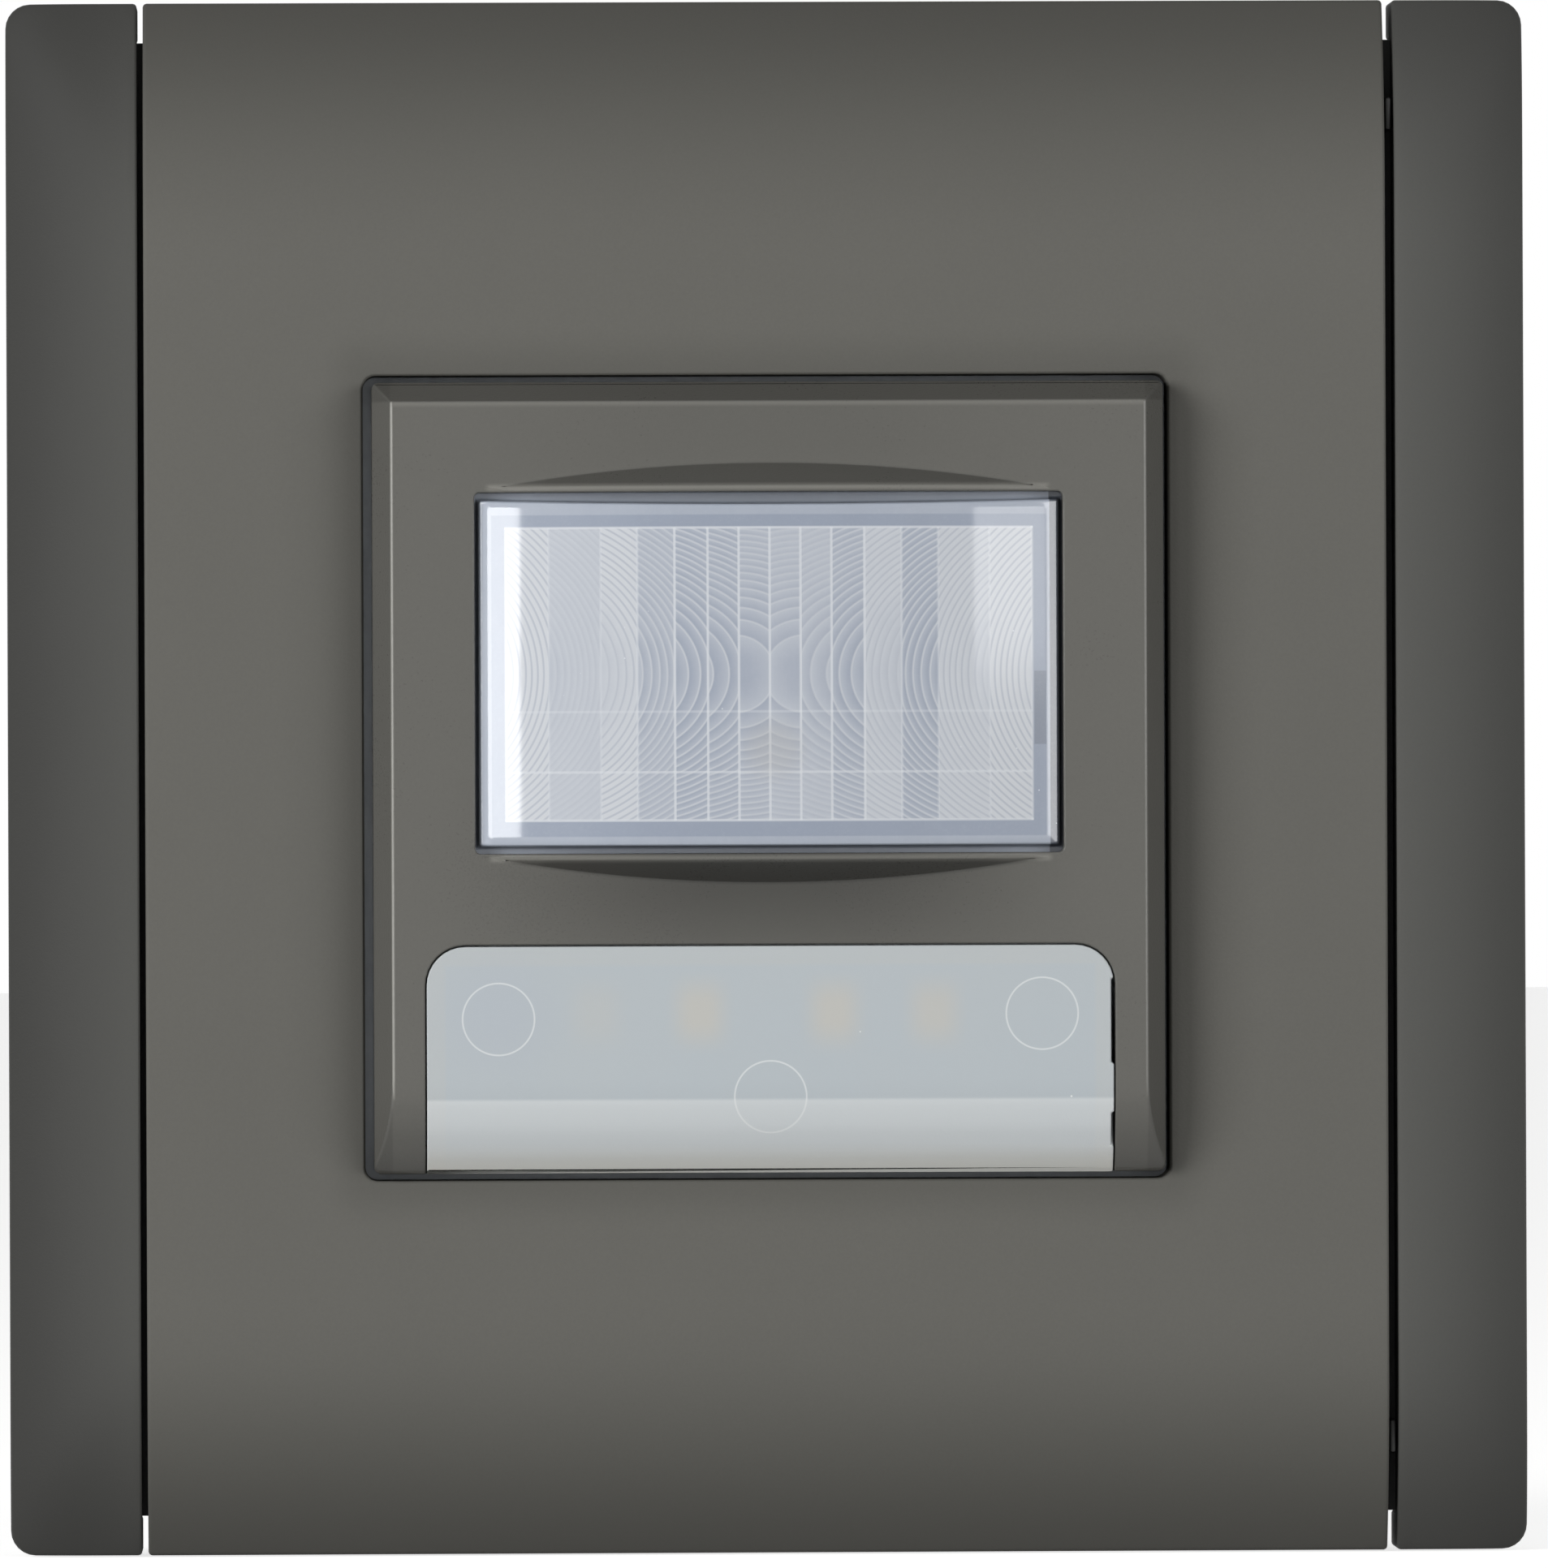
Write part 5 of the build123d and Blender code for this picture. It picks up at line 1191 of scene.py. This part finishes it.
def dress_inside(colours):
    """Rounds the larger hidden pieces and gives every CAD piece that still shows its finish."""
    materials = slot_materials(colours)
    slots = {part["node"]: part["material_slot"] for part in frame["record"]["subparts"]}
    for name, node, body, width in SOFTENED:
        slot = slots[node]
        soften(name, node, body, slot, materials[slot], width)
    for node, slot in slots.items():
        if slot in materials:
            mesh = frame["nodes"][node].data
            mesh.materials.clear()
            mesh.materials.append(materials[slot])


# The steps, each as an operator of the add-on

class Step:
    """What all steps share: each calls its own build with the scene's settings."""

    bl_options = {"REGISTER", "UNDO"}

    def execute(self, context):
        scene = context.scene
        self.build(scene.plate_sizes, scene.cover_sizes, scene.finish_colours)
        return {"FINISHED"}


class AddCentrePanel(Step, bpy.types.Operator):
    """Add the wide panel round the module"""

    bl_idname = "switch.add_centre_panel"
    bl_label = "Centre panel"

    def build(self, plate, cover, colours):
        build_centre_panel(plate, colours)


class AddSideStrips(Step, bpy.types.Operator):
    """Add the strips along both sides of the plate"""

    bl_idname = "switch.add_side_strips"
    bl_label = "Side strips"

    def build(self, plate, cover, colours):
        for name, side in (("left", -1), ("right", 1)):
            build_side_strip(name, side, plate, colours)


class AddFrontCover(Step, bpy.types.Operator):
    """Add the square cover with the lips round its lens opening"""

    bl_idname = "switch.add_front_cover"
    bl_label = "Front cover"

    def build(self, plate, cover, colours):
        build_front_cover(cover, colours)


class AddLens(Step, bpy.types.Operator):
    """Add the bulging lens of the motion sensor"""

    bl_idname = "switch.add_lens"
    bl_label = "Lens"

    def build(self, plate, cover, colours):
        build_lens(cover, colours)


class AddLightWindow(Step, bpy.types.Operator):
    """Add the frosted window of the night light"""

    bl_idname = "switch.add_light_window"
    bl_label = "Night light window"

    def build(self, plate, cover, colours):
        build_light_window(cover, colours)


class DressInside(Step, bpy.types.Operator):
    """Give the hidden pieces their finishes"""

    bl_idname = "switch.dress_inside"
    bl_label = "Hidden pieces"

    def build(self, plate, cover, colours):
        dress_inside(colours)


class AddStage(Step, bpy.types.Operator):
    """Add the floor, the lights and the camera"""

    bl_idname = "switch.add_stage"
    bl_label = "Stage"

    def build(self, plate, cover, colours):
        build_stage(plate, colours)


class SwitchPanel(bpy.types.Panel):
    """The steps in the order in which they build the switch"""

    bl_idname = "VIEW3D_PT_switch"
    bl_label = "Motion sensor light switch"
    bl_space_type = "VIEW_3D"
    bl_region_type = "UI"
    bl_category = "Switch"

    def draw(self, context):
        for step in STEPS:
            self.layout.operator(step.bl_idname)
        for name, group in SETTINGS.items():
            for entry in group.__annotations__:
                self.layout.prop(getattr(context.scene, name), entry)


# Floor, light and camera, lengths in metres and angles in degrees

WHITE = (1.0, 1.0, 1.0, 1.0)
AMBIENT = 0.03
FLOOR_SIZE = 6
FLOOR_GAP = 0.1 * MM
FLOOR_ROUGHNESS = 0.9
FLOOR_GLOW = 0.75
FLOOR_BOUNCE = 0.25
CAMERA_AZIMUTH = -1.3
CAMERA_ROLL = -0.22
CAMERA_DISTANCE = 1.1
CAMERA_AIM = (0.4 * MM, -6 * MM, -0.39 * MM)
CAMERA_CLIP = (0.01, 20)
SENSOR_WIDTH = 36
FRAME_HEIGHT = 89.53 * MM
# Of each lamp its name, its direction to the right and up, its distance, its size and its radiance
LAMPS = (
    ("key", (-51, 10), 0.9, (0.4, 0.5), 10),
    ("streak", (-30.5, 0), 0.9, (0.075, 0.3), 11),
    ("fill", (49, 3), 0.9, (0.48, 0.46), 6.6),
    ("glint", (29.5, 4.2), 0.9, (0.13, 0.11), 4),
)


def seen_white(nodes, seen, lit):
    """Mixes two shaders: one for what the camera, mirrors and glass see, and one for the light it gives."""
    rays = nodes.node("ShaderNodeLightPath", {}).socket.node.outputs
    kinds = ("Camera", "Glossy", "Transmission")
    camera, mirror, glass = [Value(nodes, rays[f"Is {kind} Ray"]) for kind in kinds]
    share = camera.math("MAXIMUM", mirror).math("MAXIMUM", glass)
    return nodes.node("ShaderNodeMixShader", {}, share, lit, seen)


def add_world():
    """A white background that gives only a little light."""
    world = bpy.data.worlds.new("studio")
    world.use_nodes = True
    world.node_tree.nodes.clear()
    nodes = Nodes(world.node_tree)
    seen, lit = [nodes.node("ShaderNodeBackground", {}, WHITE, strength) for strength in (1.0, AMBIENT)]
    output = nodes.tree.nodes.new("ShaderNodeOutputWorld")
    nodes.fill(output.inputs["Surface"], seen_white(nodes, seen, lit))
    bpy.context.scene.world = world


def floor_finish(colours):
    """A floor that looks white and throws little light back."""
    finish = Finish("pale_floor")
    material = finish.set(Base_Color=colours.floor, Roughness=FLOOR_ROUGHNESS)
    dim = finish.node("ShaderNodeBsdfDiffuse", {}, full(scaled(colours.floor, FLOOR_BOUNCE)))
    glow = finish.node("ShaderNodeEmission", {}, {"Strength": FLOOR_GLOW})
    bright = finish.node("ShaderNodeAddShader", {}, glow, Value(finish, finish.surface.outputs[0]))
    finish.fill(finish.tree.nodes["Material Output"].inputs["Surface"], seen_white(finish, bright, dim))
    return material


def add_floor(plate, colours):
    """A wide floor just under the switch."""
    bpy.ops.object.select_all(action="DESELECT")
    bpy.ops.mesh.primitive_plane_add(size=FLOOR_SIZE, location=(0, 0, -plate.height / 2 - FLOOR_GAP))
    floor = bpy.context.object
    floor.name = "floor"
    floor.data.materials.append(floor_finish(colours))


def add_softbox(name, direction, distance, size, radiance):
    """A rectangular lamp that faces the switch from a direction given as degrees to the right and up."""
    across, up = [math.radians(angle) for angle in direction]
    away = Vector((math.sin(across) * math.cos(up), -math.cos(across) * math.cos(up), math.sin(up)))
    lamp = bpy.data.lights.new(name, "AREA")
    lamp.shape = "RECTANGLE"
    lamp.size, lamp.size_y = size
    lamp.energy = radiance * math.pi * size[0] * size[1]
    holder = bpy.data.objects.new(name, lamp)
    holder.location = away * distance
    holder.rotation_euler = away.to_track_quat("Z", "Y").to_euler()
    bpy.context.collection.objects.link(holder)


def add_camera():
    """The camera in front of the switch, turned and rolled a little as in the photograph."""
    scene = bpy.context.scene
    camera = bpy.data.cameras.new("camera")
    holder = bpy.data.objects.new("camera", camera)
    bpy.context.collection.objects.link(holder)
    turn, roll = [math.radians(angle) for angle in (CAMERA_AZIMUTH, CAMERA_ROLL)]
    away = Vector((math.sin(turn), -math.cos(turn), 0))
    holder.location = Vector(CAMERA_AIM) + away * CAMERA_DISTANCE
    upright = Euler((math.radians(90), 0, turn)).to_matrix()
    holder.rotation_euler = (upright @ Matrix.Rotation(roll, 3, "Z")).to_euler()
    camera.sensor_width = SENSOR_WIDTH
    camera.lens = SENSOR_WIDTH * CAMERA_DISTANCE / FRAME_HEIGHT
    camera.clip_start, camera.clip_end = CAMERA_CLIP
    scene.camera = holder
    scene.view_settings.view_transform = "Standard"


def build_stage(plate, colours):
    """A pale floor and background, soft light and the camera."""
    add_world()
    add_floor(plate, colours)
    for lamp in LAMPS:
        add_softbox(*lamp)
    add_camera()


SETTINGS = {"plate_sizes": PlateSizes, "cover_sizes": CoverSizes, "finish_colours": Colours}
STEPS = (AddCentrePanel, AddSideStrips, AddFrontCover, AddLens, AddLightWindow, DressInside, AddStage)
CLASSES = (*SETTINGS.values(), *STEPS, SwitchPanel)


def register():
    for item in CLASSES:
        bpy.utils.register_class(item)
    for name, group in SETTINGS.items():
        setattr(bpy.types.Scene, name, bpy.props.PointerProperty(type=group))


def unregister():
    for name in SETTINGS:
        delattr(bpy.types.Scene, name)
    for item in reversed(CLASSES):
        bpy.utils.unregister_class(item)


def main():
    register()
    for step in STEPS:
        group, name = step.bl_idname.split(".")
        if getattr(getattr(bpy.ops, group), name)() != {"FINISHED"}:
            raise RuntimeError(f"{step.bl_label} was not finished")


if __name__ == "__main__":
    main()
